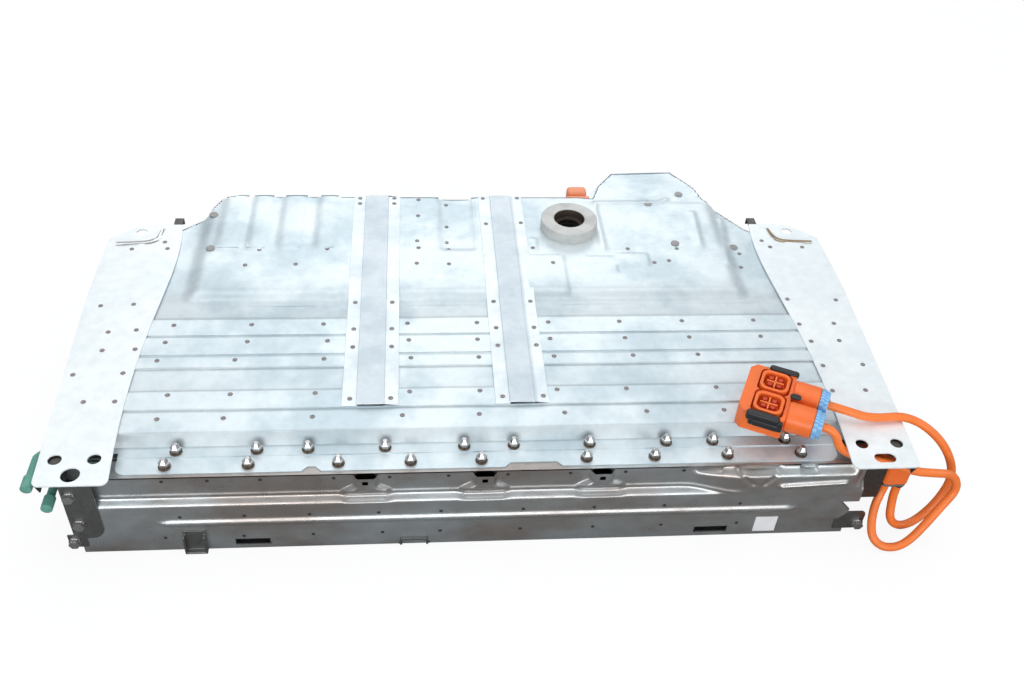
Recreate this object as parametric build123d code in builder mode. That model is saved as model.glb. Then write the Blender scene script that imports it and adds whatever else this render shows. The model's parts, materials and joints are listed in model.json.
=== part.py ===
from build123d import *
import math
import os

# High-voltage battery pack for a plug-in car, in millimetres, +Z up, standing on its tray.
# Lengths across (x) count from the pack's centre line and depths (y) from the wings' front edge.

# ---------------------------------------------------------------- driving dimensions
cover_sheet = 1.5
tray_sheet = 1.5
panel_sheet = 1.6
wing_sheet = 2.0
strap_sheet = 1.6
gasket_thickness = 1.5
running_gap = 0.3            # between parts that lie close without touching

flange_top = 139.0           # top of the cover's rim, above the floor
lower_strip_drop = 1.5       # the front rim's outer half lies this much lower
deck_top = 158.0             # flat top of the cover
strip_rise = 2.0             # pressed strips across the deck
platform_rise = 9.0          # raised rear half of the deck, above the flat deck
platform_slope = 50.0        # lean of the platform's edges, degrees
rib_rise = 4.0
pocket_depth = 5.0
apron_drop = 2.0

deck_half_width = 520.0
deck_front = 90.0
riser_run = 7.0             # the front step leans forward by this much
rear_edge = 634.0
dome_rear = 720.0
dome_left = 228.0
dome_right = 400.0
shoulder_depth = 505.0
shoulder_x = 464.0
rim_width = 16.0
corner_round = 14.0

front_rim_left = -487.0
front_rim_right = 480.0
front_rim_edge = 37.0
front_rim_joggle = 65.0      # depth of the small step between the rim's two strips
small_notch = (-235.0, 26.0)         # centre and length of the rim's notches
wide_notch = (59.0, 78.0)
notch_depth = 8.0

strip_bands = ((132.0, 167.0), (213.0, 237.0), (243.0, 279.0), (285.0, 320.0))
platform_front = 366.0
platform_left = -442.0
platform_right = 424.0
rib_spans = ((-412.0, -376.0), (-366.0, -334.0), (-314.0, -278.0), (-255.0, -226.0))
rib_front = 486.0
pocket_span = (-56.0, 1.0)
pocket_front = 485.0

wing_front_reach = 575.0
wing_bend_reach = wing_front_reach + 13
wing_bend_depth = 380.0
wing_rear_reach = wing_bend_reach - 2
wing_rear = 563.0
wing_skirt = 20.0            # depth of the wing's turned-down outer edge
wing_bead_rise = 2.6          # top of the rear bead above the wing's rear edge
wing_nose_drop = 1.5
wing_tail_drop = 2.0
wing_front_bend = 132.0
wing_rear_bend = 443.0
bolt_hole_r = 8.75
inner_bolt_x = wing_front_reach - 68
bolt_pitch = 49.0
front_bolt_y = 44.0
locator_x = wing_front_reach - 44
locator_y = 18.0
locator_r = 12.0
locator_slot = (30.0, 17.0)
rear_hole_x = wing_rear_reach - 48
rear_hole_y = 541.0
rear_hole_r = 8.5

strap_front = 133.0
strap_flange = 20.0
strap_rise = 4.0
left_strap_x = -160.0
left_strap_width = 78.0
right_strap_x = 50.0
right_strap_width = 75.0

plug_r = 7.0
plug_spots = ((-428, 580), (-421, 487), (308, 614), (369, 646), (334, 497), (435, 497))

collar_x = 160.0
collar_y = 542.0
collar_od_r = 47.0
collar_bore_r = 25.0
collar_throat_r = 19.0
collar_height = 20.0
collar_seat = 6.0            # height of the narrower throat at the collar's foot
tube_foot = 136.0            # the vent tube's lower end

panel_left = -546.0
panel_right = 522.0
panel_upper_y = 32.0
panel_lower_y = 22.0
panel_step_top = 100.0
panel_step_bottom = 89.0
panel_back = 62.0
bead_left = -444.0
bead_right = 436.0
bead_z = 56.0
bead_height = 10.0
bead_proud = 3.5
hook_xs = (-164.0, -7.0, 151.0)
hook_top_width = 24.0
hook_base_width = 56.0
hook_top_z = 134.0
slot_centres = ((-321.0, 13.5), (317.0, 14.0))
slot_size = (46.0, 11.0)

tray_front = 84.0
tray_inset = 6.0             # tray wall inside the cover's wall
tray_floor = 6.0             # underside of the tray between its pressed feet
foot_rail_width = 60.0
foot_rail_xs = (-400.0, -200.0, 0.0, 200.0, 400.0)

nut_rear_y = 74.0
nut_front_y = 49.0
nut_rear_xs = (-413.0, -308.0, -241.0, -139.0, -33.0, 34.0, 138.0, 244.0, 309.0, 411.0)
nut_front_xs = (-424.0, -317.0, -200.0, -105.0, -11.0, 131.0, 224.0, 325.0, 428.0)
nut_flats = 13.0
nut_height = 15.0
stud_r = 3.0
hole_clearance = 0.4

cable_r = 6.0
plug_turn = -26.0            # the loose plug lies turned on the deck, degrees
plug_x = 392.0
plug_y = 112.0
plug_height = 34.0
plug_pitch = 45.6            # between the two sockets
shell_r = 21.0
shell_end = 64.0
seal_length = 12.0

bracket_sheet = 2.0
bracket_edge = -553.0
bracket_outline = (
    (-553, 142), (-512, 142), (-512, 32), (-538, 32), (-538, 14), (-562, 14), (-562, 38), (-553, 38),
)
bracket_bolts = ((-541, 61), (-543, 116), (-554, 25))
ear_bolt_x = 530.0
ear_bolt_z = 21.0
nut_flange = 1.8
rim_bolt_flats = 10.0
rim_bolt_spots = (
    (-528, 190), (-528, 330), (-528, 470), (528, 190), (528, 330), (528, 470), (-300, 642), (60, 642),
)
hook_plate = 2.5
hook_reach = wing_rear + 21
service_left = 168.0
service_right = 208.0
wall_x = deck_half_width - tray_inset            # the tray's side wall
outlet_z = 86.0
outlet_spots = ((577, 35.5), (560.5, 38.5))      # where the two cables leave the outlet
cap_length = 20.0
cap_wall = 2.0

plug_back = 27.0
socket_foot = 12.0
socket_size = 40.0
socket_gap = 2.2
socket_wall = 4.5
socket_rise = 3.0
socket_depth = 18.0

liner_thickness = 2.0
cell_height = 118.0
cell_pitch = 31.0
cell_gap = 0.5
module_left = -488.0
module_width = 186.0
module_pitch = 198.0
module_front = 122.0
module_cells = (12, 15, 15, 15)
tie_thickness = 2.0
bay_left = 318.0
bay_right = 490.0
bay_sheet = 3.0

# ---------------------------------------------------------------- derived sizes
strip_top = deck_top + strip_rise
platform_top = deck_top + platform_rise
wing_bottom = strip_top
wing_top = wing_bottom + wing_sheet
rim_bottom = flange_top - cover_sheet
lower_strip_top = flange_top - lower_strip_drop
seal_top = rim_bottom - gasket_thickness         # top of the tray's and the panel's flanges
pipe_r = 5.5
cap_r = 7.5
outer_pipe_x = -(wing_front_reach + 13.0)
centre_x = (-outer_pipe_x + cap_r - wing_bend_reach) / 2
front_y = -(dome_rear + rim_width) / 2

deck_outline = (
    (-deck_half_width, deck_front), (-deck_half_width, shoulder_depth), (-474, 552), (-441, 580),
    (-420, rear_edge - 8), (-390, rear_edge), (dome_left - 14, rear_edge), (dome_left, 672),
    (258, dome_rear - 6), (366, dome_rear), (dome_right, 668), (dome_right + 8, rear_edge),
    (shoulder_x, 552), (deck_half_width, shoulder_depth), (deck_half_width, deck_front),
)


# ---------------------------------------------------------------- workplanes
def level(z, x=0.0, y=0.0):
    """A horizontal workplane at height z."""
    return Plane(origin=(centre_x + x, front_y + y, z))


def upright(y, x=0.0, z=0.0):
    """A workplane facing the front: its x runs right, its y runs up, and extruding comes forward."""
    return Plane(origin=(centre_x + x, front_y + y, z), x_dir=(1, 0, 0), z_dir=(0, -1, 0))


def lengthwise(x, y=0.0, z=0.0):
    """A workplane facing right: its x runs to the rear and its y runs up."""
    return Plane(origin=(centre_x + x, front_y + y, z), x_dir=(0, 1, 0), z_dir=(1, 0, 0))


def block(x0, x1, y0, y1, z0, z1, mode=Mode.ADD):
    """A box between two corners, in the part being built."""
    with Locations(level(z0, (x0 + x1) / 2, (y0 + y1) / 2)):
        Box(x1 - x0, y1 - y0, z1 - z0, align=(Align.CENTER, Align.CENTER, Align.MIN), mode=mode)


def outline(*points):
    """A flat face with straight edges through the points."""
    with BuildSketch(Plane.XY, mode=Mode.PRIVATE) as flat:
        with BuildLine():
            Polyline(*points, close=True)
        make_face()
    return flat.sketch


def deck_plan(inset):
    """The deck's outline as a flat face, moved in by inset."""
    plan = outline(*deck_outline)
    if inset:
        return offset(plan, amount=-inset, kind=Kind.INTERSECTION, mode=Mode.PRIVATE)
    return plan


# ---------------------------------------------------------------- pressed cover
def cover_form(inset):
    """The cover's pressed shape as a full block, every wall moved in by inset."""
    start = rim_bottom - inset
    lean = riser_run / (deck_top - flange_top)
    shift = inset * math.hypot(1, lean)
    side = deck_half_width - inset
    with BuildPart() as form:
        with BuildSketch(level(start)):
            add(deck_plan(inset))
        extrude(amount=deck_top - inset - start)
        with BuildSketch(lengthwise(-side)):
            add(outline(
                (deck_front - riser_run + shift, start),
                (deck_front - riser_run + shift, flange_top - inset),
                (deck_front + shift, deck_top - inset), (deck_front + 20, deck_top - inset),
                (deck_front + 20, start),
            ))
        extrude(amount=2 * side)
        for band_front, band_rear in strip_bands:
            block(
                -side, side, band_front + inset, band_rear - inset,
                deck_top - inset - 1, strip_top - inset,
            )
        with BuildSketch(level(deck_top - inset)):
            add(outline(
                (platform_left + inset, platform_front + inset),
                (platform_right - inset, platform_front + inset),
                (platform_right - inset, dome_rear + 40), (platform_left + inset, dome_rear + 40),
            ))
        extrude(amount=platform_rise, taper=platform_slope)
        for rib_left, rib_right in rib_spans:
            block(
                rib_left + inset, rib_right - inset, rib_front + inset, dome_rear,
                platform_top - inset - 1, platform_top + rib_rise - inset,
            )
        block(
            pocket_span[0] - inset, pocket_span[1] + inset, pocket_front - inset, dome_rear,
            platform_top - pocket_depth - inset, platform_top + 20, mode=Mode.SUBTRACT,
        )
        block(
            dome_left - 30, dome_right + 30, rear_edge - 14 - inset, dome_rear + 20,
            platform_top - apron_drop - inset, platform_top + 20, mode=Mode.SUBTRACT,
        )
        with BuildSketch(level(start)):
            add(deck_plan(inset))
            add(outline(
                (-side, deck_front + 20), (-side, deck_front - riser_run + shift),
                (side, deck_front - riser_run + shift), (side, deck_front + 20),
            ))
        extrude(amount=platform_top + 40 - start, mode=Mode.INTERSECT)
    return form.part


def rim_plan(width, front, front_left, front_right):
    """The rim's outer edge: the deck's outline moved out, with the front rim ahead of it."""
    return deck_plan(-width) + outline(
        (front_left, deck_front + 10), (front_left, front), (front_right, front),
        (front_right, deck_front + 10),
    )


with BuildPart() as upper_cover:
    add(cover_form(0))
    with BuildSketch(level(rim_bottom)):
        add(rim_plan(rim_width, front_rim_joggle, front_rim_left, front_rim_right))
    extrude(amount=cover_sheet)
    with BuildSketch(level(rim_bottom - lower_strip_drop)) as lower_strip:
        add(outline(
            (front_rim_left, front_rim_joggle + cover_sheet), (front_rim_left, front_rim_edge),
            (front_rim_right, front_rim_edge), (front_rim_right, front_rim_joggle + cover_sheet),
        ))
        fillet(lower_strip.vertices().group_by(Axis.Y)[0], corner_round)
        for notch_x, notch_length in (small_notch, wide_notch):
            with Locations((notch_x, front_rim_edge)):
                Trapezoid(notch_length + 2 * notch_depth, 2 * notch_depth, 45, mode=Mode.SUBTRACT)
    extrude(amount=cover_sheet)
    add(cover_form(cover_sheet), mode=Mode.SUBTRACT)
    with BuildSketch(level(rim_bottom - lower_strip_drop)):
        nut_holes = [(x, nut_rear_y) for x in nut_rear_xs] + [(x, nut_front_y) for x in nut_front_xs]
        with Locations(*rim_bolt_spots, *nut_holes):
            Circle(stud_r + hole_clearance)
    extrude(amount=2 * cover_sheet + lower_strip_drop, mode=Mode.SUBTRACT)
    with BuildSketch(level(deck_top - 5)):
        with Locations((collar_x, collar_y)):
            Circle(collar_throat_r)
    extrude(amount=30, mode=Mode.SUBTRACT)
upper_cover.part.label = "upper_cover"
export_step(upper_cover.part, "parts/upper_cover.step")

# ---------------------------------------------------------------- reinforcing straps on the cover
def surface_line(rise):
    """Points (depth, height) of the line that a strap follows from front to rear, lifted by rise."""
    run = platform_rise * math.tan(math.radians(platform_slope))
    return [
        (strap_front, strip_top + rise), (platform_front, strip_top + rise),
        (platform_front + run, platform_top + rise), (rear_edge, platform_top + rise),
    ]


def strap_layer(low, high, x0, x1, mode=Mode.ADD):
    """A layer of the strap between two heights above the deck and between two places across."""
    with BuildSketch(lengthwise(x0)) as side:
        add(outline(*surface_line(low), *reversed(surface_line(high))))
    extrude(side.sketch, amount=x1 - x0, mode=mode)


def strap(x, width):
    """A hat-shaped strap: two flanges on the deck and a raised channel between them."""
    hat = width / 2 - strap_flange
    wall = strap_sheet
    with BuildPart() as piece:
        strap_layer(0, wall, x - width / 2, x + width / 2)
        strap_layer(0, strap_rise, x - hat, x + hat)
        strap_layer(0, strap_rise - wall, x - hat + wall, x + hat - wall, Mode.SUBTRACT)
    return piece.part


with BuildPart() as strap_left:
    add(strap(left_strap_x, left_strap_width))
strap_left.part.label = "strap_left"
export_step(strap_left.part, "parts/strap_left.step")

with BuildPart() as strap_right:
    add(strap(right_strap_x, right_strap_width))
strap_right.part.label = "strap_right"
export_step(strap_right.part, "parts/strap_right.step")


# ---------------------------------------------------------------- side wings
def wing_plan():
    """The right wing's outline as a flat face."""
    with BuildSketch(Plane.XY, mode=Mode.PRIVATE) as plan:
        with BuildLine():
            Polyline(
                (482, 0), (wing_front_reach, 0), (wing_bend_reach, wing_bend_depth),
                (wing_rear_reach, wing_rear - 41), (wing_rear_reach - 40, wing_rear - 7),
                (wing_rear_reach - 68, wing_rear), (477, wing_rear),
            )
            Spline((477, wing_rear), (471, 455), (478, 360), (488, 210), (488, 110), (482, 0))
        make_face()
        fillet(plan.vertices().group_by(Axis.Y)[0], 9)
    return plan.sketch


def bead_path():
    """The J-shaped bead that is pressed up round the wing's rear hole."""
    with BuildSketch(Plane.XY, mode=Mode.PRIVATE) as bead:
        with BuildLine():
            FilletPolyline(
                (rear_hole_x - 34, 549), (rear_hole_x - 31, 520), (rear_hole_x - 8, 509),
                (rear_hole_x + 34, 507),
                radius=12,
            )
        trace(line_width=6)
    return bead.sketch


def wing(slotted):
    """The right wing: a bent plate with a turned-down outer edge, fixing holes and a raised bead."""
    with BuildPart() as piece:
        with BuildSketch(lengthwise(460)):
            add(outline(
                (0, wing_bottom - wing_nose_drop), (wing_front_bend, wing_bottom),
                (wing_rear_bend, wing_bottom),
                (wing_rear, wing_bottom - wing_tail_drop), (wing_rear, wing_top - wing_tail_drop),
                (wing_rear_bend, wing_top), (wing_front_bend, wing_top), (0, wing_top - wing_nose_drop),
            ))
        extrude(amount=wing_bend_reach - 460)
        with BuildSketch(level(0)):
            add(wing_plan())
        extrude(amount=wing_top + 5, mode=Mode.INTERSECT)
        with BuildSketch(level(wing_top - wing_skirt)):
            add(outline(
                (wing_front_reach - wing_sheet, 12), (wing_front_reach, 12),
                (wing_bend_reach, wing_bend_depth),
                (wing_rear_reach, wing_rear - 45), (wing_rear_reach - wing_sheet, wing_rear - 45),
                (wing_bend_reach - wing_sheet, wing_bend_depth),
            ))
        extrude(amount=wing_skirt - wing_tail_drop - wing_sheet / 2)
        with BuildSketch(level(wing_top - wing_tail_drop - wing_sheet / 2)):
            add(bead_path())
        extrude(amount=wing_sheet / 2 + wing_bead_rise)
        with BuildSketch(level(wing_bottom - 10)):
            with Locations((inner_bolt_x, front_bolt_y), (inner_bolt_x + bolt_pitch, front_bolt_y)):
                Circle(bolt_hole_r)
            with Locations((rear_hole_x, rear_hole_y)):
                Circle(rear_hole_r)
            with Locations((locator_x, locator_y)):
                if slotted:
                    SlotOverall(*locator_slot)
                else:
                    Circle(locator_r)
        extrude(amount=20, mode=Mode.SUBTRACT)
    return piece.part


with BuildPart() as wing_right:
    add(wing(True))
wing_right.part.label = "wing_right"
export_step(wing_right.part, "parts/wing_right.step")

with BuildPart() as wing_left:
    add(mirror(wing(False), about=Plane.YZ.offset(centre_x)))
wing_left.part.label = "wing_left"
export_step(wing_left.part, "parts/wing_left.step")


# ---------------------------------------------------------------- collar over the vent
with BuildPart() as vent_collar:
    with BuildSketch(level(platform_top, collar_x, collar_y)):
        Circle(collar_od_r)
        Circle(collar_throat_r, mode=Mode.SUBTRACT)
    extrude(amount=collar_seat)
    with BuildSketch(level(platform_top + collar_seat, collar_x, collar_y)):
        Circle(collar_od_r)
        Circle(collar_bore_r, mode=Mode.SUBTRACT)
    extrude(amount=collar_height - collar_seat)
vent_collar.part.label = "vent_collar"
export_step(vent_collar.part, "parts/vent_collar.step")

with BuildPart() as vent_tube:
    with BuildSketch(level(tube_foot, collar_x, collar_y)):
        Circle(collar_throat_r)
        Circle(collar_throat_r - 2, mode=Mode.SUBTRACT)
    extrude(amount=platform_top - cover_sheet - tube_foot)
    with BuildSketch(level(platform_top - cover_sheet - 2, collar_x, collar_y)):
        Circle(collar_throat_r + 8)
        Circle(collar_throat_r - 2, mode=Mode.SUBTRACT)
    extrude(amount=2)
vent_tube.part.label = "vent_tube"
export_step(vent_tube.part, "parts/vent_tube.step")

# ---------------------------------------------------------------- plugs in the cover's paint holes
with BuildPart() as cover_plugs:
    for x, y in plug_spots:
        flat = platform_top - apron_drop if y > rear_edge - 14 else platform_top
        low = deck_top if x < platform_left + 12 or x > platform_right - 4 else flat
        with BuildSketch(level(low, x, y)) as plug:
            Circle(plug_r)
        extrude(plug.sketch, amount=1.6)
cover_plugs.part.label = "cover_plugs"
export_step(cover_plugs.part, "parts/cover_plugs.step")

# ---------------------------------------------------------------- tray

def tray_plan(inset):
    """The tray's outline as a flat face, moved in from the cover's wall by inset."""
    front = tray_front + inset - tray_inset
    ahead = outline(
        (-deck_half_width + inset, deck_front + 40), (-deck_half_width + inset, front),
        (deck_half_width - inset, front), (deck_half_width - inset, deck_front + 40),
    )
    return deck_plan(inset) + ahead


with BuildPart() as lower_tray:
    with BuildSketch(level(tray_floor)):
        add(tray_plan(tray_inset))
    extrude(amount=seal_top - tray_floor)
    with BuildSketch(level(seal_top - tray_sheet)):
        add(deck_plan(-rim_width))
        add(outline(
            (-deck_half_width - rim_width, deck_front),
            (-deck_half_width - rim_width, front_rim_joggle + 2),
            (deck_half_width + rim_width, front_rim_joggle + 2), (deck_half_width + rim_width, deck_front),
        ))
    extrude(amount=tray_sheet)
    with BuildSketch(level(tray_floor + tray_sheet)):
        add(tray_plan(tray_inset + tray_sheet))
    extrude(amount=seal_top, mode=Mode.SUBTRACT)
    for rail_x in foot_rail_xs:
        half = foot_rail_width / 2
        block(rail_x - half, rail_x + half, tray_front + 30, rear_edge - 40, 0, tray_floor)
        block(
            rail_x - half + tray_sheet, rail_x + half - tray_sheet, tray_front + 30 + tray_sheet,
            rear_edge - 40 - tray_sheet, tray_sheet, tray_floor + tray_sheet, Mode.SUBTRACT,
        )
lower_tray.part.label = "lower_tray"
export_step(lower_tray.part, "parts/lower_tray.step")

with BuildPart() as rim_gasket:
    with BuildSketch(level(seal_top)):
        add(deck_plan(-rim_width + 2))
        add(outline(
            (-deck_half_width - rim_width + 2, deck_front),
            (-deck_half_width - rim_width + 2, front_rim_joggle + 3),
            (deck_half_width + rim_width - 2, front_rim_joggle + 3),
            (deck_half_width + rim_width - 2, deck_front),
        ))
        add(tray_plan(tray_inset - 2), mode=Mode.SUBTRACT)
        with Locations(*rim_bolt_spots, *[(x, nut_rear_y) for x in nut_rear_xs]):
            Circle(stud_r + hole_clearance, mode=Mode.SUBTRACT)
    extrude(amount=gasket_thickness)
rim_gasket.part.label = "rim_gasket"
export_step(rim_gasket.part, "parts/rim_gasket.step")

# ---------------------------------------------------------------- front cross-member
def hook_form(x, inset):
    """A pressed-out hook tongue, open at its top, with its walls moved in by inset."""
    top = hook_top_width / 2 - inset
    base = hook_base_width / 2 - inset
    foot = panel_step_bottom + 2
    with BuildPart() as form:
        with BuildSketch(upright(panel_upper_y + panel_sheet, x)):
            add(outline((-base, foot), (base, foot), (top, hook_top_z + inset), (-top, hook_top_z + inset)))
        extrude(amount=20)
        with BuildSketch(lengthwise(x - 60)):
            add(outline(
                (panel_upper_y + panel_sheet, foot), (panel_lower_y + inset, foot),
                (panel_lower_y + inset, 104),
                (panel_upper_y - 3 + inset, hook_top_z + 2 * inset),
                (panel_upper_y + panel_sheet, hook_top_z + 2 * inset),
            ))
        extrude(amount=120, mode=Mode.INTERSECT)
    return form.part


def panel_section(inset):
    """The cross-member's section from its top flange to its bottom flange, moved in by inset."""
    return [
        (panel_back, seal_top - inset), (panel_upper_y + inset, seal_top - inset),
        (panel_upper_y + inset, panel_step_top - inset * 0.4),
        (panel_lower_y + inset, panel_step_bottom - inset * 0.4),
        (panel_lower_y + inset, inset), (tray_front - running_gap, inset),
    ]


def bead_form(inset):
    """The long bead pressed out of the cross-member's face, pointed at both ends."""
    half = bead_height / 2 - inset
    with BuildPart() as form:
        with BuildSketch(upright(panel_lower_y + panel_sheet)):
            add(outline(
                (bead_left + inset, bead_z), (bead_left + 16, bead_z + half + inset / 2),
                (bead_right - 16, bead_z + half),
                (bead_right - inset, bead_z), (bead_right - 16, bead_z - half),
                (bead_left + 16, bead_z - half),
            ))
        extrude(amount=panel_sheet + bead_proud - inset, taper=12)
    return form.part


with BuildPart() as front_panel:
    with BuildSketch(lengthwise(panel_left)):
        add(outline(*panel_section(0), *reversed(panel_section(panel_sheet))))
    extrude(amount=panel_right - panel_left)
    add(bead_form(0))
    for hook_x in hook_xs:
        add(hook_form(hook_x, 0))
    for hook_x in hook_xs:
        add(hook_form(hook_x, panel_sheet), mode=Mode.SUBTRACT)
    with BuildSketch(upright(panel_back)):
        with Locations(*slot_centres):
            Rectangle(*slot_size)
        with Locations(*[(hook_x, hook_top_z - 9) for hook_x in hook_xs]):
            Rectangle(5, 5)
        add(outline(
            (panel_right - 24, 66), (panel_right + 5, 66), (panel_right + 5, -5),
            (panel_right - 10, -5), (panel_right - 10, 50),
        ))
    extrude(amount=60, mode=Mode.SUBTRACT)
    with BuildSketch(level(seal_top - 10)):
        with Locations(*[(x, nut_front_y) for x in nut_front_xs]):
            Circle(stud_r + hole_clearance)
    extrude(amount=20, mode=Mode.SUBTRACT)
front_panel.part.label = "front_panel"
export_step(front_panel.part, "parts/front_panel.step")


# ---------------------------------------------------------------- brackets and fasteners at the front
def hexagon(flats):
    """A hexagon measured across its flats."""
    return RegularPolygon(flats / 2, 6, major_radius=False)


def screw(plane, flats, head_height, shank_r, shank_length):
    """A hexagon screw: its head stands out of the plane and its shank runs into it."""
    with BuildPart() as fastener:
        with BuildSketch(plane):
            RegularPolygon(flats / 2 + 2, 12)
        extrude(amount=1.6)
        with BuildSketch(plane):
            hexagon(flats)
        extrude(amount=head_height)
        with BuildSketch(plane):
            RegularPolygon(shank_r, 8)
        extrude(amount=-shank_length)
    return fastener.part


with BuildPart() as bracket_left:
    with BuildSketch(upright(panel_lower_y)) as plate:
        add(outline(*bracket_outline))
        fillet(plate.vertices().group_by(Axis.X)[-1].sort_by(Axis.Y)[0], 18)
        with Locations(*bracket_bolts):
            Circle(stud_r + hole_clearance, mode=Mode.SUBTRACT)
    extrude(amount=bracket_sheet)
    block(
        bracket_edge, bracket_edge + bracket_sheet, panel_lower_y - bracket_sheet, panel_back,
        60, seal_top + 6,
    )
bracket_left.part.label = "bracket_left"
export_step(bracket_left.part, "parts/bracket_left.step")

with BuildPart() as bracket_right:
    with BuildSketch(upright(panel_lower_y)) as plate:
        add(outline((496, 10), (538, 10), (538, 46), (512, 46), (496, 30)))
        fillet(plate.vertices().group_by(Axis.X)[-1], 8)
        with Locations((ear_bolt_x, ear_bolt_z)):
            Circle(stud_r + hole_clearance, mode=Mode.SUBTRACT)
    extrude(amount=bracket_sheet)
bracket_right.part.label = "bracket_right"
export_step(bracket_right.part, "parts/bracket_right.step")

with BuildPart() as end_bolts:
    front_face = panel_lower_y - bracket_sheet
    add(screw(upright(front_face, -541, 61), nut_flats, 7, stud_r, bracket_sheet))
    add(screw(upright(front_face, -543, 116), nut_flats, 7, stud_r, panel_upper_y - front_face))
    add(screw(upright(front_face, -554, 25), nut_flats, 7, stud_r, 12))
    add(screw(upright(front_face, ear_bolt_x, ear_bolt_z), nut_flats, 7, stud_r, 12))
end_bolts.part.label = "end_bolts"
export_step(end_bolts.part, "parts/end_bolts.step")

with BuildPart() as jack_foot:
    block(-412, -382, panel_lower_y - 2, panel_lower_y, 0, 40)
    block(-412, -382, panel_lower_y - 9, panel_lower_y - 2, 0, 3)
    block(-412, -409, panel_lower_y - 9, panel_lower_y - 2, 3, 34)
    block(-385, -382, panel_lower_y - 9, panel_lower_y - 2, 3, 34)
jack_foot.part.label = "jack_foot"
export_step(jack_foot.part, "parts/jack_foot.step")

with BuildPart() as harness_staple:
    with BuildSketch(upright(panel_lower_y)):
        with BuildLine():
            FilletPolyline((-120, 3), (-120, 14), (-84, 14), (-84, 3), radius=3)
        trace(line_width=3)
    extrude(amount=5)
    for foot_x in (-124, -84):
        block(foot_x, foot_x + 4, panel_lower_y - 1.5, panel_lower_y, 1, 6)
harness_staple.part.label = "harness_staple"
export_step(harness_staple.part, "parts/harness_staple.step")


def flange_nut(x, y, seat, foot):
    """A flanged nut with a cone over its thread, and the stud that stands up into it."""
    with BuildPart() as nut:
        with BuildSketch(level(seat, x, y)):
            RegularPolygon(nut_flats / 2 + 2.1, 12)
        extrude(amount=nut_flange)
        with BuildSketch(level(seat, x, y)):
            hexagon(nut_flats)
        extrude(amount=nut_height * 0.6)
        with BuildSketch(level(seat + nut_height * 0.6, x, y)):
            hexagon(nut_flats - 1.5)
        extrude(amount=nut_height * 0.4, taper=25)
        with BuildSketch(level(foot, x, y)):
            RegularPolygon(stud_r, 8)
        extrude(amount=seat - foot)
    return nut.part


with BuildPart() as flange_nuts:
    for nut_x in nut_rear_xs:
        add(flange_nut(nut_x, nut_rear_y, flange_top, seal_top))
    for nut_x in nut_front_xs:
        add(flange_nut(nut_x, nut_front_y, lower_strip_top, seal_top - panel_sheet - 4))
flange_nuts.part.label = "flange_nuts"
export_step(flange_nuts.part, "parts/flange_nuts.step")

with BuildPart() as rim_bolts:
    for bolt_x, bolt_y in rim_bolt_spots:
        add(screw(level(flange_top, bolt_x, bolt_y), rim_bolt_flats, 5, stud_r, flange_top - seal_top))
rim_bolts.part.label = "rim_bolts"
export_step(rim_bolts.part, "parts/rim_bolts.step")


# ---------------------------------------------------------------- rear hooks and service plug
def rear_hook():
    """A plate under the right wing's rear edge that ends in a turned-down lip."""
    low = wing_bottom - wing_tail_drop - hook_plate
    with BuildPart() as piece:
        block(478, 492, wing_rear - 15, hook_reach, low, low + hook_plate)
        block(478, 492, hook_reach - hook_plate, hook_reach, low - 8, low)
    return piece.part


with BuildPart() as hook_right:
    add(rear_hook())
hook_right.part.label = "hook_right"
export_step(hook_right.part, "parts/hook_right.step")

with BuildPart() as hook_left:
    add(mirror(rear_hook(), about=Plane.YZ.offset(centre_x)))
hook_left.part.label = "hook_left"
export_step(hook_left.part, "parts/hook_left.step")

with BuildPart() as service_base:
    block(service_left, service_right, rear_edge, rear_edge + 8, flange_top, flange_top + 26)
    block(service_left + 6, service_right - 6, rear_edge + 8, rear_edge + 12, flange_top + 2, flange_top + 24)
service_base.part.label = "service_base"
export_step(service_base.part, "parts/service_base.step")

with BuildPart() as service_grip:
    with BuildSketch(upright(rear_edge + 34, (service_left + service_right) / 2, flange_top + 16)) as face:
        RectangleRounded(34, 28, 6)
    extrude(amount=22)
service_grip.part.label = "service_grip"
export_step(service_grip.part, "parts/service_grip.step")

# ---------------------------------------------------------------- outlet on the right side
with BuildPart() as outlet_housing:
    with BuildSketch(level(94)) as plan:
        add(outline((550, 26), (586, 26), (586, 100), (wall_x, 100), (wall_x, 66), (550, 66)))
        fillet(plan.vertices().group_by(Axis.X)[-1], 7)
        fillet(plan.vertices().group_by(Axis.Y)[0].sort_by(Axis.X)[0], 7)
    extrude(amount=36)
    block(wall_x - 1, 550, 60, 101, 126, 131, mode=Mode.SUBTRACT)
outlet_housing.part.label = "outlet_housing"
export_step(outlet_housing.part, "parts/outlet_housing.step")

with BuildPart() as outlet_plate:
    block(panel_right, 550, 30, 32, 65, 128)
    block(panel_right, panel_right + 2, 32, 50, 65, 128)
outlet_plate.part.label = "outlet_plate"
export_step(outlet_plate.part, "parts/outlet_plate.step")

with BuildPart() as outlet_clamp:
    with BuildSketch(level(90)) as plan:
        add(outline((551, 27), (585, 27), (585, 62), (551, 62)))
        fillet(plan.vertices(), 6)
    extrude(amount=4)
outlet_clamp.part.label = "outlet_clamp"
export_step(outlet_clamp.part, "parts/outlet_clamp.step")

with BuildPart() as outlet_glands:
    with BuildSketch(level(outlet_z)):
        with Locations(*outlet_spots):
            Circle(cable_r + 1.8)
    extrude(amount=90 - outlet_z)
outlet_glands.part.label = "outlet_glands"
export_step(outlet_glands.part, "parts/outlet_glands.step")


# ---------------------------------------------------------------- capped pipes on the left side
def place(points):
    """The points moved from the pack's own layout into the row's frame."""
    return [(x + centre_x, y + front_y, z) for x, y, z in points]


def pipe(points, bends):
    """A round pipe through the points, with an arc at each bend."""
    with BuildPart() as tube:
        with BuildLine() as route:
            FilletPolyline(*place(points), radius=bends)
        start = route.line ^ 0
        with BuildSketch(start):
            Circle(pipe_r)
        sweep()
    return tube.part


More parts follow.
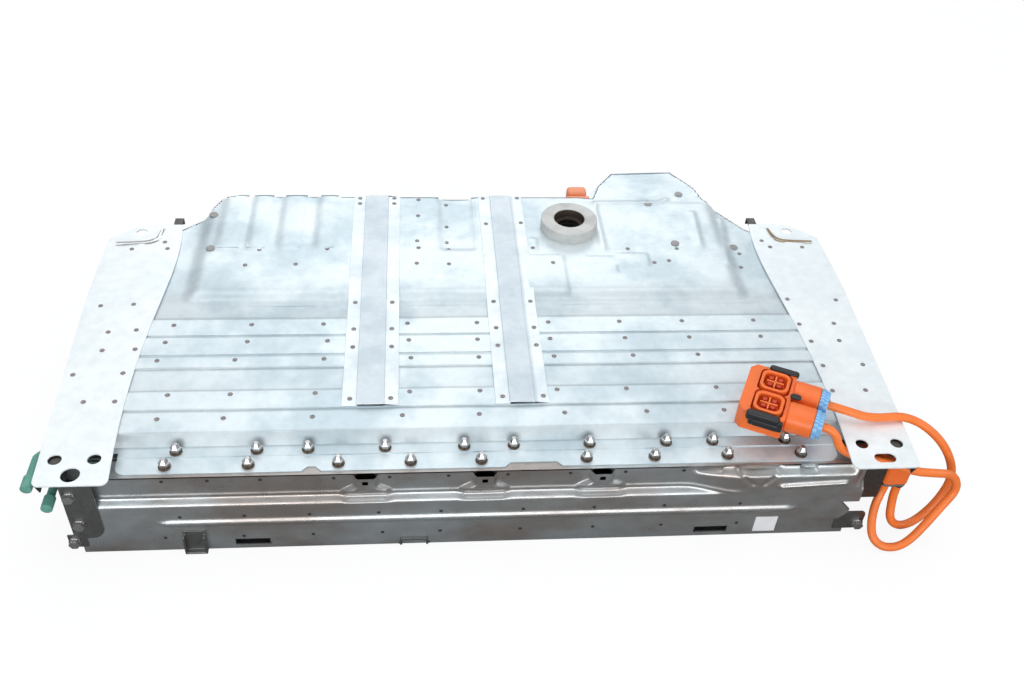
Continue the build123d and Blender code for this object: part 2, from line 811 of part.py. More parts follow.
def pipe_cap(x, y, z):
    """A soft cap on a pipe's open end, closed at its front."""
    with BuildPart() as cap:
        with BuildSketch(upright(y + cap_length, x, z)):
            Circle(cap_r)
        extrude(amount=cap_length)
        with BuildSketch(upright(y + cap_length, x, z)):
            Circle(pipe_r + 0.2)
        extrude(amount=cap_length - cap_wall, mode=Mode.SUBTRACT)
    return cap.part


pipe_wall_x = -wall_x - 5
with BuildPart() as pipe_upper:
    add(pipe(
        [
            (outer_pipe_x, 12 + cap_wall, 141), (outer_pipe_x, 66, 141), (outer_pipe_x, 100, 118),
            (-556, 140, 105), (pipe_wall_x, 140, 105),
        ],
        12,
    ))
pipe_upper.part.label = "pipe_upper"
export_step(pipe_upper.part, "parts/pipe_upper.step")

with BuildPart() as pipe_lower:
    add(pipe([(-567, 3 + cap_wall, 113), (-567, 64, 113), (-554, 100, 95), (pipe_wall_x, 100, 95)], 12))
pipe_lower.part.label = "pipe_lower"
export_step(pipe_lower.part, "parts/pipe_lower.step")

with BuildPart() as pipe_caps:
    add(pipe_cap(outer_pipe_x, 12, 141))
    add(pipe_cap(-567, 3, 113))
pipe_caps.part.label = "pipe_caps"
export_step(pipe_caps.part, "parts/pipe_caps.step")

with BuildPart() as pipe_ports:
    for port_y, port_z in ((140, 105), (100, 95)):
        with BuildSketch(lengthwise(pipe_wall_x, port_y, port_z)):
            RectangleRounded(26, 22, 4)
        extrude(amount=5)
pipe_ports.part.label = "pipe_ports"
export_step(pipe_ports.part, "parts/pipe_ports.step")

# ---------------------------------------------------------------- double plug lying on the deck
plug_spots_v = (-plug_pitch / 2, plug_pitch / 2)


def plug_level(height):
    """A horizontal workplane in the plug's own directions, at a height above its underside."""
    turn = math.radians(plug_turn)
    return Plane(
        origin=(centre_x + plug_x, front_y + plug_y, strip_top + height),
        x_dir=(math.cos(turn), math.sin(turn), 0), z_dir=(0, 0, 1),
    )


def plug_section(u, v, height):
    """A workplane across the plug's cables, at a place along and across the plug."""
    flat = plug_level(height)
    return Plane(origin=flat.from_local_coords((u, v, 0)), x_dir=flat.y_dir, z_dir=flat.x_dir)


with BuildPart() as plug_housing:
    with BuildSketch(plug_level(0)) as plan:
        add(outline(
            (-38, -40), (-30, -49), (plug_back, -49), (plug_back, 50), (-30, 50), (-38, 41),
        ))
        fillet(plan.vertices().group_by(Axis.X)[-1], 5)
    extrude(amount=plug_height)
    with BuildSketch(plug_level(socket_foot)):
        for v in plug_spots_v:
            with Locations((0, v)):
                RectangleRounded(socket_size + 2 * socket_gap, plug_pitch + 1, 8)
    extrude(amount=plug_height, mode=Mode.SUBTRACT)
plug_housing.part.label = "plug_housing"
export_step(plug_housing.part, "parts/plug_housing.step")


def plug_socket(v):
    """One of the plug's two square sockets, open at its top."""
    with BuildPart() as piece:
        with BuildSketch(plug_level(socket_foot)):
            with Locations((0, v)):
                RectangleRounded(socket_size, socket_size, 11)
        extrude(amount=plug_height + socket_rise - socket_foot)
        with BuildSketch(plug_level(plug_height + socket_rise - socket_depth)):
            with Locations((0, v)):
                RectangleRounded(socket_size - 2 * socket_wall, socket_size - 2 * socket_wall, 8)
        extrude(amount=socket_depth, mode=Mode.SUBTRACT)
    return piece.part


with BuildPart() as socket_lower:
    add(plug_socket(plug_spots_v[0]))
socket_lower.part.label = "socket_lower"
export_step(socket_lower.part, "parts/socket_lower.step")

with BuildPart() as socket_upper:
    add(plug_socket(plug_spots_v[1]))
socket_upper.part.label = "socket_upper"
export_step(socket_upper.part, "parts/socket_upper.step")

with BuildPart() as plug_terminals:
    for v in plug_spots_v:
        with BuildSketch(plug_level(plug_height + socket_rise - socket_depth)):
            with Locations((0, v)):
                Circle(5)
        extrude(amount=socket_depth - 6)
plug_terminals.part.label = "plug_terminals"
export_step(plug_terminals.part, "parts/plug_terminals.step")

with BuildPart() as plug_clips:
    for side, edge in ((1, 50), (-1, 49)):
        for low, high, reach in ((14, 32, 4), (18, 28, 9)):
            with BuildSketch(plug_level(low)):
                with Locations((3, side * (edge + reach / 2))):
                    Rectangle(46 if reach < 5 else 34, reach)
            extrude(amount=high - low)
plug_clips.part.label = "plug_clips"
export_step(plug_clips.part, "parts/plug_clips.step")


def back_shell(v):
    """The round shell behind one socket, where its cable comes out."""
    with BuildPart() as piece:
        with BuildSketch(plug_section(plug_back, v, shell_r)):
            Circle(shell_r)
        extrude(amount=shell_end - plug_back)
    return piece.part


with BuildPart() as shell_lower:
    add(back_shell(plug_spots_v[0]))
shell_lower.part.label = "shell_lower"
export_step(shell_lower.part, "parts/shell_lower.step")

with BuildPart() as shell_upper:
    add(back_shell(plug_spots_v[1]))
shell_upper.part.label = "shell_upper"
export_step(shell_upper.part, "parts/shell_upper.step")

with BuildPart() as cable_seals:
    for v in plug_spots_v:
        with BuildSketch(plug_section(shell_end, v, shell_r)):
            Circle(shell_r - 0.5)
        extrude(amount=seal_length / 2)
        with BuildSketch(plug_section(shell_end + seal_length / 2, v, shell_r)):
            Circle(shell_r - 2.5)
        extrude(amount=seal_length / 2)
cable_seals.part.label = "cable_seals"
export_step(cable_seals.part, "parts/cable_seals.step")


# ---------------------------------------------------------------- high-voltage cables
def seal_exit(v, run=0.0):
    """The place where a cable leaves its seal, or a run straight beyond it."""
    spot = plug_section(shell_end + seal_length + run, v, shell_r).origin
    return (spot.X - centre_x, spot.Y - front_y, spot.Z)


def bends(points):
    """A bend radius for each inner point, from the shorter of its two runs and its turn."""
    radii = []
    for before, here, after in zip(points, points[1:], points[2:]):
        turn = math.radians((Vector(*here) - Vector(*before)).get_angle(Vector(*after) - Vector(*here)))
        radii.append(0.45 * min(math.dist(before, here), math.dist(here, after)) / math.tan(turn / 2))
    return radii


def cable(points):
    """A round cable of straight runs joined by arcs."""
    radii = bends(points)
    print("cable radii", [round(radius) for radius in radii])
    with BuildPart() as cord:
        with BuildLine() as route:
            FilletPolyline(*place(points), radius=radii)
        with BuildSketch(route.line ^ 0):
            Circle(cable_r)
        sweep()
    length = sum(edge.length for edge in route.edges())
    print("cable length", round(length), "ratio", round(cord.part.volume / (math.pi * cable_r**2 * length), 3))
    return cord.part


upper_route = (
    seal_exit(plug_spots_v[1]), seal_exit(plug_spots_v[1], 26), (530, 82, 169.8), (588, 88, 169.8),
    (638, 67, 140), (669, 54, 84), (655, 43, 38), (626, 31, 9), (598, 23, 6), (577, 21, 25), (577, 32, 52),
    (577, 35.5, 68), (*outlet_spots[0], outlet_z),
)
lower_route = (
    seal_exit(plug_spots_v[0]), seal_exit(plug_spots_v[0], 7), (465.1, 51, 176.8), (471.2, 48, 169.3),
    (474, 46.6, 159.5), (480.2, 43.6, 152), (488.5, 39.5, 148), (506, 34, 145.5), (546, 25, 141),
    (582, 16.5, 132), (614, 19, 125.5), (648, 28, 112), (662, 26, 84), (643, 16, 60), (620, 2, 34),
    (602, -7, 14), (583, -14, 7), (563.3, -14, 7), (551.7, -9.2, 11.8), (545, -1, 20), (545.5, 12, 33),
    (550, 26, 50), (557, 35, 66), (560.5, 38.5, 77), (*outlet_spots[1], outlet_z),
)

with BuildPart() as cable_upper:
    add(cable(upper_route))
cable_upper.part.label = "cable_upper"
export_step(cable_upper.part, "parts/cable_upper.step")

with BuildPart() as cable_lower:
    add(cable(lower_route))
cable_lower.part.label = "cable_lower"
export_step(cable_lower.part, "parts/cable_lower.step")

# ---------------------------------------------------------------- inside: cells and their frames
liner_top = tray_floor + tray_sheet + liner_thickness
cell_top = liner_top + cell_height
with BuildPart() as floor_liner:
    with BuildSketch(level(tray_floor + tray_sheet)):
        add(tray_plan(tray_inset + tray_sheet + 3))
    extrude(amount=liner_thickness)
floor_liner.part.label = "floor_liner"
export_step(floor_liner.part, "parts/floor_liner.step")


def module_spots():
    """Left edge and cell count of each module."""
    return [(module_left + i * module_pitch, cells) for i, cells in enumerate(module_cells)]


with BuildPart() as battery_cells:
    for left, cells in module_spots():
        for i in range(cells):
            front = module_front + i * cell_pitch
            block(left, left + module_width, front, front + cell_pitch - cell_gap, liner_top, cell_top)
battery_cells.part.label = "battery_cells"
export_step(battery_cells.part, "parts/battery_cells.step")

with BuildPart() as module_end_plates:
    for left, cells in module_spots():
        rear = module_front + cells * cell_pitch
        block(left, left + module_width, module_front - 8, module_front - cell_gap, liner_top, cell_top)
        block(left, left + module_width, rear, rear + 8, liner_top, cell_top)
module_end_plates.part.label = "module_end_plates"
export_step(module_end_plates.part, "parts/module_end_plates.step")

with BuildPart() as module_tie_bars:
    for left, cells in module_spots():
        rear = module_front + cells * cell_pitch + 8
        for tie_x in (left - tie_thickness, left + module_width):
            for tie_z in (liner_top + 20, cell_top - 36):
                block(tie_x, tie_x + tie_thickness, module_front - 8, rear, tie_z, tie_z + 16)
module_tie_bars.part.label = "module_tie_bars"
export_step(module_tie_bars.part, "parts/module_tie_bars.step")

with BuildPart() as cell_bus_bars:
    for left, cells in module_spots():
        for i in range(cells // 2):
            front = module_front + 2 * i * cell_pitch + 6
            for bar_x in (left + 18, left + module_width - 46):
                block(bar_x, bar_x + 28, front, front + 2 * cell_pitch - 12, cell_top, cell_top + 2)
cell_bus_bars.part.label = "cell_bus_bars"
export_step(cell_bus_bars.part, "parts/cell_bus_bars.step")

with BuildPart() as sense_boards:
    for left, cells in module_spots():
        block(
            left + 66, left + module_width - 66, module_front + 6, module_front + cells * cell_pitch - 6,
            cell_top, cell_top + 1.6,
        )
sense_boards.part.label = "sense_boards"
export_step(sense_boards.part, "parts/sense_boards.step")

# ---------------------------------------------------------------- inside: electrics bay
bay_top = liner_top + bay_sheet
with BuildPart() as bay_board:
    block(bay_left, bay_right, 110, 500, liner_top, bay_top)
bay_board.part.label = "bay_board"
export_step(bay_board.part, "parts/bay_board.step")

with BuildPart() as contactors:
    for case_y in (200, 280):
        block(bay_left + 12, bay_left + 72, case_y, case_y + 58, bay_top, bay_top + 62)
        with BuildSketch(level(bay_top + 62, bay_left + 42, case_y + 29)):
            with Locations((-14, 0), (14, 0)):
                Circle(6)
        extrude(amount=10)
contactors.part.label = "contactors"
export_step(contactors.part, "parts/contactors.step")

with BuildPart() as main_fuse:
    block(bay_left + 92, bay_left + 112, 200, 340, bay_top, bay_top + 12)
    with BuildSketch(upright(325, bay_left + 102, bay_top + 12 + 15)):
        Circle(15)
    extrude(amount=110)
main_fuse.part.label = "main_fuse"
export_step(main_fuse.part, "parts/main_fuse.step")

with BuildPart() as current_sensor:
    block(bay_left + 124, bay_left + 156, 220, 262, bay_top, bay_top + 34)
    block(bay_left + 130, bay_left + 150, 200, 282, bay_top + 10, bay_top + 14)
current_sensor.part.label = "current_sensor"
export_step(current_sensor.part, "parts/current_sensor.step")

with BuildPart() as battery_ecu:
    block(bay_left + 14, bay_left + 158, 370, 480, bay_top, bay_top + 30)
    block(bay_left + 30, bay_left + 142, 366, 370, bay_top + 6, bay_top + 24)
battery_ecu.part.label = "battery_ecu"
export_step(battery_ecu.part, "parts/battery_ecu.step")

with BuildPart() as outlet_bars:
    for bar_z in (bay_top + 20, bay_top + 50):
        block(bay_left + 76, bay_left + 88, 130, 190, bar_z, bar_z + 3)
    block(bay_left + 74, bay_left + 90, 124, 196, bay_top, bay_top + 20)
    block(bay_left + 74, bay_left + 90, 150, 170, bay_top + 23, bay_top + 50)
outlet_bars.part.label = "outlet_bars"
export_step(outlet_bars.part, "parts/outlet_bars.step")
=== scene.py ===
"""EV battery module: the looks of the pack, its cables and its stage."""
import json
import math

import bmesh
import bpy
import numpy
from mathutils import Matrix, Vector
from mathutils.bvhtree import BVHTree

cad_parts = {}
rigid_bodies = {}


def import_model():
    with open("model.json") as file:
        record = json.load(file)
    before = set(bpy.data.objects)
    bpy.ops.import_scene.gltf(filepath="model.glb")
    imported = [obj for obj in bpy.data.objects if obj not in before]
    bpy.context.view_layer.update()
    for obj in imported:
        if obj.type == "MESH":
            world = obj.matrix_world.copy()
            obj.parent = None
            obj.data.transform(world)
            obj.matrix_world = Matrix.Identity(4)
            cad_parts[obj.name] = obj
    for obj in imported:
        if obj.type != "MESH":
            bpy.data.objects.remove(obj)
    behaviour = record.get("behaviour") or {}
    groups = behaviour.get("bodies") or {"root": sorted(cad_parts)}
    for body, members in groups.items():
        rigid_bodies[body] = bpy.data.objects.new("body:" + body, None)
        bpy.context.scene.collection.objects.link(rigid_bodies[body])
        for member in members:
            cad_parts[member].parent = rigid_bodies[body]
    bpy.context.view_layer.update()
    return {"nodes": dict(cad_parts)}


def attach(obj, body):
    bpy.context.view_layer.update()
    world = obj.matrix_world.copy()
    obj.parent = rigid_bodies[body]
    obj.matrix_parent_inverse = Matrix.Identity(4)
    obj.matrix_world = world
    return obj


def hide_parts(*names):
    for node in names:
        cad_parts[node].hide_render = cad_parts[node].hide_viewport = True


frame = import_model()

bl_info = {
    "name": "EV Battery Module",
    "version": (1, 0, 0),
    "blender": (4, 5, 0),
    "location": "View3D > Sidebar > Battery",
    "description": "Builds the finish, cables and stage of a steel traction battery",
    "category": "Object",
}

CENTRE_X = 3.75  # millimetres from the pack's layout to the row frame
FRONT_Y = -368.0
RAY_START = 260  # a height above every piece, in millimetres
DECK_LIMIT = 157  # a height just under the cover's deck


# -------- sizes and colours
class PackSizes(bpy.types.PropertyGroup):
    """Sizes of the pressed steel and of its marks."""
    weld_radius: bpy.props.FloatProperty(
        name="Weld mark radius", description="Radius of one spot weld's mark", default=0.0036, unit="LENGTH")
    fold_radius: bpy.props.FloatProperty(
        name="Fold radius", description="Rounding of folded sheet edges", default=0.0006, unit="LENGTH")
    cable_radius: bpy.props.FloatProperty(
        name="Cable radius", description="Outer radius of each cable", default=0.006, unit="LENGTH")


class PackColours(bpy.types.PropertyGroup):
    """Colours of the pack's finishes."""
    steel: bpy.props.FloatVectorProperty(
        name="Steel", description="Bright galvanised sheet", subtype="COLOR", default=(0.80, 0.865, 0.89))
    patch: bpy.props.FloatVectorProperty(
        name="Steel patches", description="Cloudy patches on the sheet", subtype="COLOR", default=(0.60, 0.69, 0.735))
    beam: bpy.props.FloatVectorProperty(
        name="Beam", description="Darker steel of the front beam", subtype="COLOR", default=(0.53, 0.57, 0.585))
    beam_patch: bpy.props.FloatVectorProperty(
        name="Beam patches", description="Brownish areas of the beam", subtype="COLOR", default=(0.40, 0.36, 0.335))
    orange: bpy.props.FloatVectorProperty(
        name="Orange", description="Cables and plug", subtype="COLOR", default=(0.96, 0.18, 0.03))
    green: bpy.props.FloatVectorProperty(
        name="Green", description="Pipe caps", subtype="COLOR", default=(0.16, 0.42, 0.34))


def sizes():
    return bpy.context.scene.pack_sizes


def colours():
    return bpy.context.scene.pack_colours


def row(x, y, z):
    """A point of the pack's own layout, in millimetres, as metres in the row frame."""
    return Vector(((x + CENTRE_X) / 1000, (y + FRONT_Y) / 1000, z / 1000))


# -------- materials
def node(tree, kind, place=(0, 0), **values):
    """A shader node with its settings, or failing those its inputs, set by name."""
    made = tree.nodes.new(kind)
    made.location = place
    for key, value in values.items():
        if hasattr(made, key):
            setattr(made, key, value)
        else:
            made.inputs[key.replace("_", " ")].default_value = value
    return made


def start_material(name):
    """A material with its shader, and the object's own coordinates."""
    made = bpy.data.materials.new(name)
    made.use_nodes = True
    tree = made.node_tree
    shader = tree.nodes["Principled BSDF"]
    place = node(tree, "ShaderNodeTexCoord", (-1400, 0))
    return made, tree, shader, place.outputs["Object"]


def noise(tree, place, scale, detail=3.0, roughness=0.55, stretch=(1, 1, 1), at=(-1000, 0)):
    """A noise pattern read through a mapping that stretches it."""
    mapping = node(tree, "ShaderNodeMapping", (at[0] - 200, at[1]))
    mapping.inputs["Scale"].default_value = stretch
    tree.links.new(place, mapping.inputs["Vector"])
    pattern = node(tree, "ShaderNodeTexNoise", at, Scale=scale, Detail=detail, Roughness=roughness)
    tree.links.new(mapping.outputs["Vector"], pattern.inputs["Vector"])
    return pattern.outputs["Fac"]


def ramp(tree, source, stops, at=(-750, 0)):
    """A colour ramp over a pattern; stops are (position, colour) pairs."""
    made = node(tree, "ShaderNodeValToRGB", at)
    band = made.color_ramp
    while len(band.elements) < len(stops):
        band.elements.new(0.5)
    for element, (position, colour) in zip(band.elements, stops):
        element.position = position
        element.color = (*colour, 1)
    tree.links.new(source, made.inputs["Fac"])
    return made.outputs["Color"]


def grey(value):
    return (value, value, value)


def mix(tree, factor, first, second, blend="MIX", at=(-450, 0)):
    """Mixes two colours; factor is a socket or a number."""
    made = node(tree, "ShaderNodeMix", at, data_type="RGBA", blend_type=blend)
    for value, socket in ((factor, made.inputs[0]), (first, made.inputs[6]), (second, made.inputs[7])):
        if hasattr(value, "is_output"):
            tree.links.new(value, socket)
        elif isinstance(value, (int, float)):
            socket.default_value = value
        else:
            socket.default_value = (*value, 1)
    return made.outputs[2]


def bump(tree, shader, source, strength, distance, at=(-250, -350)):
    """Raises the surface by a pattern."""
    made = node(tree, "ShaderNodeBump", at, Strength=strength, Distance=distance)
    tree.links.new(source, made.inputs["Height"])
    tree.links.new(made.outputs["Normal"], shader.inputs["Normal"])


def gloss(tree, shader, place, scale, low, high, detail=3, roughness=0.5, stretch=(1, 1, 1), level=-200):
    """A roughness that wanders between two values."""
    pattern = noise(tree, place, scale, detail, roughness, stretch, (-1000, level))
    tone = ramp(tree, pattern, ((0.3, grey(low)), (0.7, grey(high))), (-750, level))
    tree.links.new(tone, shader.inputs["Roughness"])


def object_axes(tree):
    """The object's own coordinates, whole and split into X, Y and Z."""
    place = node(tree, "ShaderNodeTexCoord", (-1400, 700)).outputs["Object"]
    split = node(tree, "ShaderNodeSeparateXYZ", (-1200, 700))
    tree.links.new(place, split.inputs[0])
    return place, split.outputs


def between(tree, source, low, high):
    """0 where the source is low, 1 where it is high."""
    level = node(tree, "ShaderNodeMapRange", (-800, 700))
    level.inputs["From Min"].default_value = low
    level.inputs["From Max"].default_value = high
    tree.links.new(source, level.inputs["Value"])
    return level.outputs[0]


def tint(tree, shader, bands):
    """Multiplies a finish's colour by a pattern."""
    base = shader.inputs["Base Color"].links[0].from_socket
    tree.links.new(mix(tree, 1.0, base, bands, "MULTIPLY", at=(-200, 500)), shader.inputs["Base Color"])


def sheet_metal(name, light, dark, metallic, rough, patch_scale=7.0, streak=(1, 1, 1), cloud=(0.44, 0.60)):
    """Galvanised sheet: cloudy patches, faint streaks, and a fine grain in its gloss and bump."""
    made, tree, shader, place = start_material(name)
    shader.inputs["Metallic"].default_value = metallic
    clouds = noise(tree, place, patch_scale, 4, 0.6, streak, (-1000, 300))
    patches = ramp(tree, clouds, ((cloud[0], grey(0)), (cloud[1], grey(1))), (-750, 300))
    mottle = ramp(tree, noise(tree, place, 60, 5, 0.65), ((0.30, grey(0.90)), (0.70, grey(1.0))))
    base = mix(tree, patches, light, dark, at=(-450, 200))
    base = mix(tree, 1.0, base, mottle, "MULTIPLY", at=(-250, 200))
    tree.links.new(base, shader.inputs["Base Color"])
    gloss(tree, shader, place, 35, rough - 0.08, rough + 0.10, 4, 0.6, (1, 6, 1), -300)
    bump(tree, shader, noise(tree, place, 260, 3, 0.5, at=(-1000, -600)), 0.10, 0.0004)
    return made


def plastic(name, colour, rough, grain=900.0, depth=0.00015, spread=0.10):
    """Moulded plastic or rubber: an even colour with slight dulling and a fine grain."""
    made, tree, shader, place = start_material(name)
    clouds = noise(tree, place, 45, 4, 0.6, at=(-1000, 200))
    dull = ramp(tree, clouds, ((0.35, grey(1 - spread)), (0.70, grey(1.0))), (-750, 200))
    tree.links.new(mix(tree, 1.0, colour, dull, "MULTIPLY"), shader.inputs["Base Color"])
    gloss(tree, shader, place, 80, rough - 0.06, rough + 0.08)
    bump(tree, shader, noise(tree, place, grain, 2, 0.5, at=(-1000, -500)), 0.15, depth)
    return made


def plated(name, colour, rough, stain=(0.35, 0.28, 0.22), amount=0.25):
    """Plated or bare metal of small parts, with thin stains."""
    made, tree, shader, place = start_material(name)
    shader.inputs["Metallic"].default_value = 1.0
    clouds = noise(tree, place, 160, 4, 0.6, at=(-1000, 200))
    spots = ramp(tree, clouds, ((0.52, grey(0)), (0.72, grey(amount))), (-750, 200))
    tree.links.new(mix(tree, spots, colour, stain), shader.inputs["Base Color"])
    gloss(tree, shader, place, 220, max(rough - 0.08, 0.04), rough + 0.1)
    bump(tree, shader, noise(tree, place, 500, 2, 0.5, at=(-1000, -500)), 0.12, 0.0002)
    return made


def weld_finish(name):
    """Spot welds: dark burnt steel with paler, faintly rusty specks."""
    made, tree, shader, place = start_material(name)
    shader.inputs["Metallic"].default_value = 0.3
    shader.inputs["Roughness"].default_value = 0.6
    tone = ramp(tree, noise(tree, place, 330, 3, 0.6),
                ((0.35, (0.16, 0.15, 0.15)), (0.55, (0.30, 0.27, 0.27)), (0.75, (0.36, 0.27, 0.25))))
    tree.links.new(tone, shader.inputs["Base Color"])
    return made


# Painted shade on the cover: its tone at distances from its front edge, in millimetres, with dark lines along the
# pressed steps and darker risers and rear ramp.
PAINTED_SHADE_TONES = (
    (79, 0.98), (81, 0.78), (91, 0.78), (94, 0.99), (127, 0.98), (130.5, 0.62), (134, 1.0), (165, 0.99),
    (169, 0.62), (173, 0.93), (209, 0.95), (213, 0.70), (216.5, 1.0), (235, 1.0), (238.5, 0.70), (242, 1.0),
    (277.5, 1.0), (281, 0.68), (284.5, 1.0), (317, 1.0), (321.5, 0.60), (327, 0.80), (350, 0.84), (366, 0.78),
    (385, 0.90), (410, 0.99),
)


BAND_FROM, BAND_TO = 70, 420
BAND_WAVER = 0.004  # how far a band's edge wanders, in metres


def shade_banded_finish(name, light, dark):
    """The cover's sheet, with painted shade: grey bands and dark lines along its pressed strips, its risers and its
    rear ramp.
    """
    made = sheet_metal(name, light, dark, 0.5, 0.42)
    tree, shader = made.node_tree, made.node_tree.nodes["Principled BSDF"]
    place, axes = object_axes(tree)
    waver = node(tree, "ShaderNodeMath", (-1000, 500), operation="MULTIPLY_ADD")
    waver.inputs[1].default_value = BAND_WAVER
    tree.links.new(noise(tree, place, 9, 3, 0.5, at=(-1200, 500)), waver.inputs[0])
    tree.links.new(axes["Y"], waver.inputs[2])
    low, high = (row(0, y, 0).y + BAND_WAVER / 2 for y in (BAND_FROM, BAND_TO))
    stops = [((y - BAND_FROM) / (BAND_TO - BAND_FROM), (tone * 0.985, tone, tone * 1.004)) for y, tone in PAINTED_SHADE_TONES]
    # painted shade along the pressed steps, risers and ramp, multiplied into the sheet's colour
    tint(tree, shader, ramp(tree, between(tree, waver.outputs[0], low, high), stops, (-600, 700)))
    return made


STRAP_SPAN = (-200, 100)  # the width that both straps lie in
STRAP_MIDDLES = ((-179.5, -140.5), (31.5, 71.5))
MIDDLE_TONE = 0.80


def strap_finish(name):
    """The straps' sheet: their raised middles are greyer than their flanges."""
    made = sheet_metal(name, (0.86, 0.91, 0.93), (0.74, 0.81, 0.85), 0.35, 0.44, 12.0)
    tree, shader = made.node_tree, made.node_tree.nodes["Principled BSDF"]
    _, axes = object_axes(tree)
    start, end = STRAP_SPAN
    stops = []
    for left, right in STRAP_MIDDLES:
        for x, tone in ((left - 1.5, 1), (left + 1.5, MIDDLE_TONE), (right - 1.5, MIDDLE_TONE), (right + 1.5, 1)):
            stops.append(((x - start) / (end - start), (tone * 1.12 - 0.12, tone, tone * 0.88 + 0.12)))
    level = between(tree, axes["X"], row(start, 0, 0).x, row(end, 0, 0).x)
    tint(tree, shader, ramp(tree, level, stops, (-600, 700)))
    return made


NUT_BASE, NUT_DOME = 0.1425, 0.1475  # heights in metres where the brown ends and the bright begins


def nut_finish(name):
    """Bright domed nuts whose hexagon bases are brown with age."""
    made, tree, shader, place = start_material(name)
    shader.inputs["Metallic"].default_value = 1.0
    _, axes = object_axes(tree)
    level = between(tree, axes["Z"], NUT_BASE, NUT_DOME)
    tree.links.new(mix(tree, level, (0.20, 0.155, 0.125), grey(0.62)), shader.inputs["Base Color"])
    gloss(tree, shader, place, 220, 0.16, 0.34)
    bump(tree, shader, noise(tree, place, 400, 2, 0.5, at=(-1000, -500)), 0.15, 0.0003)
    return made


PLUG_TURN = 26  # degrees, clockwise seen from above


def seal_finish(name):
    """Pale blue seals with ribs along the cable, painted lighter on the rib crests and darker in the grooves as
    painted highlight and painted shade.
    """
    made, tree, shader, place = start_material(name)
    turn = node(tree, "ShaderNodeMapping", (-1200, 0))
    turn.inputs["Rotation"].default_value = (0, 0, math.radians(PLUG_TURN))
    tree.links.new(place, turn.inputs["Vector"])
    ribs = node(tree, "ShaderNodeTexWave", (-1000, 0), bands_direction="Y", Scale=78.0, Distortion=0.6)
    tree.links.new(turn.outputs["Vector"], ribs.inputs["Vector"])
    # painted highlight on the rib crests and painted shade in the grooves
    tone = ramp(tree, ribs.outputs["Fac"],
                ((0.15, (0.15, 0.38, 0.69)), (0.55, (0.21, 0.46, 0.77)), (0.95, (0.30, 0.56, 0.83))))
    tree.links.new(tone, shader.inputs["Base Color"])
    shader.inputs["Roughness"].default_value = 0.42
    bump(tree, shader, ribs.outputs["Fac"], 0.3, 0.0008)
    return made


COLLAR_X, COLLAR_Y = 160, 542
BORE_RADIUS = 0.0250


def collar_finish(name):
    """A pale cast collar with painted shade darkening its bore."""
    made = sheet_metal(name, (0.60, 0.60, 0.58), (0.50, 0.50, 0.49), 0.3, 0.5, 26.0)
    tree, shader = made.node_tree, made.node_tree.nodes["Principled BSDF"]
    place, _ = object_axes(tree)
    shift = node(tree, "ShaderNodeMapping", (-1200, 500))
    centre = row(COLLAR_X, COLLAR_Y, 0)
    shift.inputs["Location"].default_value = (-centre.x, -centre.y, 0)
    shift.inputs["Scale"].default_value = (1, 1, 0)
    tree.links.new(place, shift.inputs["Vector"])
    far = node(tree, "ShaderNodeVectorMath", (-1000, 700), operation="LENGTH")
    tree.links.new(shift.outputs["Vector"], far.inputs[0])
    # painted shade: everything inside the bore's radius turns near-black brown
    level = between(tree, far.outputs["Value"], BORE_RADIUS, BORE_RADIUS + 0.0015)
    base = shader.inputs["Base Color"].links[0].from_socket
    tree.links.new(mix(tree, level, (0.075, 0.055, 0.045), base, at=(-200, 500)), shader.inputs["Base Color"])
    return made


def finish_table():
    """Each finish's maker and the values that it takes."""
    c = colours()
    return {
        "cover_steel": (shade_banded_finish, c.steel, c.patch),
        "wing_steel": (sheet_metal, (0.95, 0.98, 0.985), (0.87, 0.92, 0.935), 0.2, 0.45, 4.0),
        "strap_steel": (strap_finish,),
        "beam_steel": (sheet_metal, c.beam, c.beam_patch, 0.85, 0.33, 5.0, (1, 1, 2.2), (0.38, 0.62)),
        "tray_steel": (sheet_metal, (0.42, 0.43, 0.43), (0.30, 0.30, 0.30), 0.7, 0.42, 5.0),
        "hub_steel": (collar_finish,),
        "nut_zinc": (nut_finish,),
        "zinc": (plated, (0.60, 0.59, 0.58), 0.22),
        "bracket_zinc": (plated, (0.26, 0.26, 0.255), 0.34),
        "plug_steel": (plated, (0.30, 0.29, 0.295), 0.42, (0.24, 0.18, 0.17), 0.6),
        "dark_steel": (plated, (0.12, 0.115, 0.11), 0.42),
        "wire_grey": (plated, (0.30, 0.29, 0.29), 0.4),
        "wire_tan": (plated, (0.40, 0.31, 0.21), 0.5),
        "copper": (plated, (0.75, 0.42, 0.25), 0.3),
        "can": (plated, (0.7, 0.7, 0.71), 0.35),
        "weld": (weld_finish,),
        "orange_plastic": (plastic, c.orange, 0.34, 700, 0.0001),
        "orange_sheath": (plastic, (1.0, 0.225, 0.04), 0.38, 1200, 0.0001),
        "orange_deep": (plastic, (0.62, 0.05, 0.015), 0.5),
        "orange_pale": (plastic, (0.96, 0.33, 0.16), 0.4),
        "seal_ribs": (seal_finish,),
        "black_plastic": (plastic, (0.018, 0.018, 0.02), 0.42),
        "black_rubber": (plastic, (0.02, 0.02, 0.02), 0.7),
        "green_rubber": (plastic, c.green, 0.6, 500, 0.0003, 0.35),
        "white_plate": (plastic, (0.85, 0.85, 0.86), 0.4),
        "shadow": (plastic, (0.03, 0.03, 0.03), 0.8),
        "board": (plastic, (0.03, 0.20, 0.09), 0.4),
        "liner": (plastic, (0.45, 0.46, 0.40), 0.7),
    }


FINISHES = {}


def finish(name):
    """The named finish, made on its first use."""
    if name not in FINISHES:
        maker, *values = finish_table()[name]
        FINISHES[name] = maker(name, *values)
    return FINISHES[name]


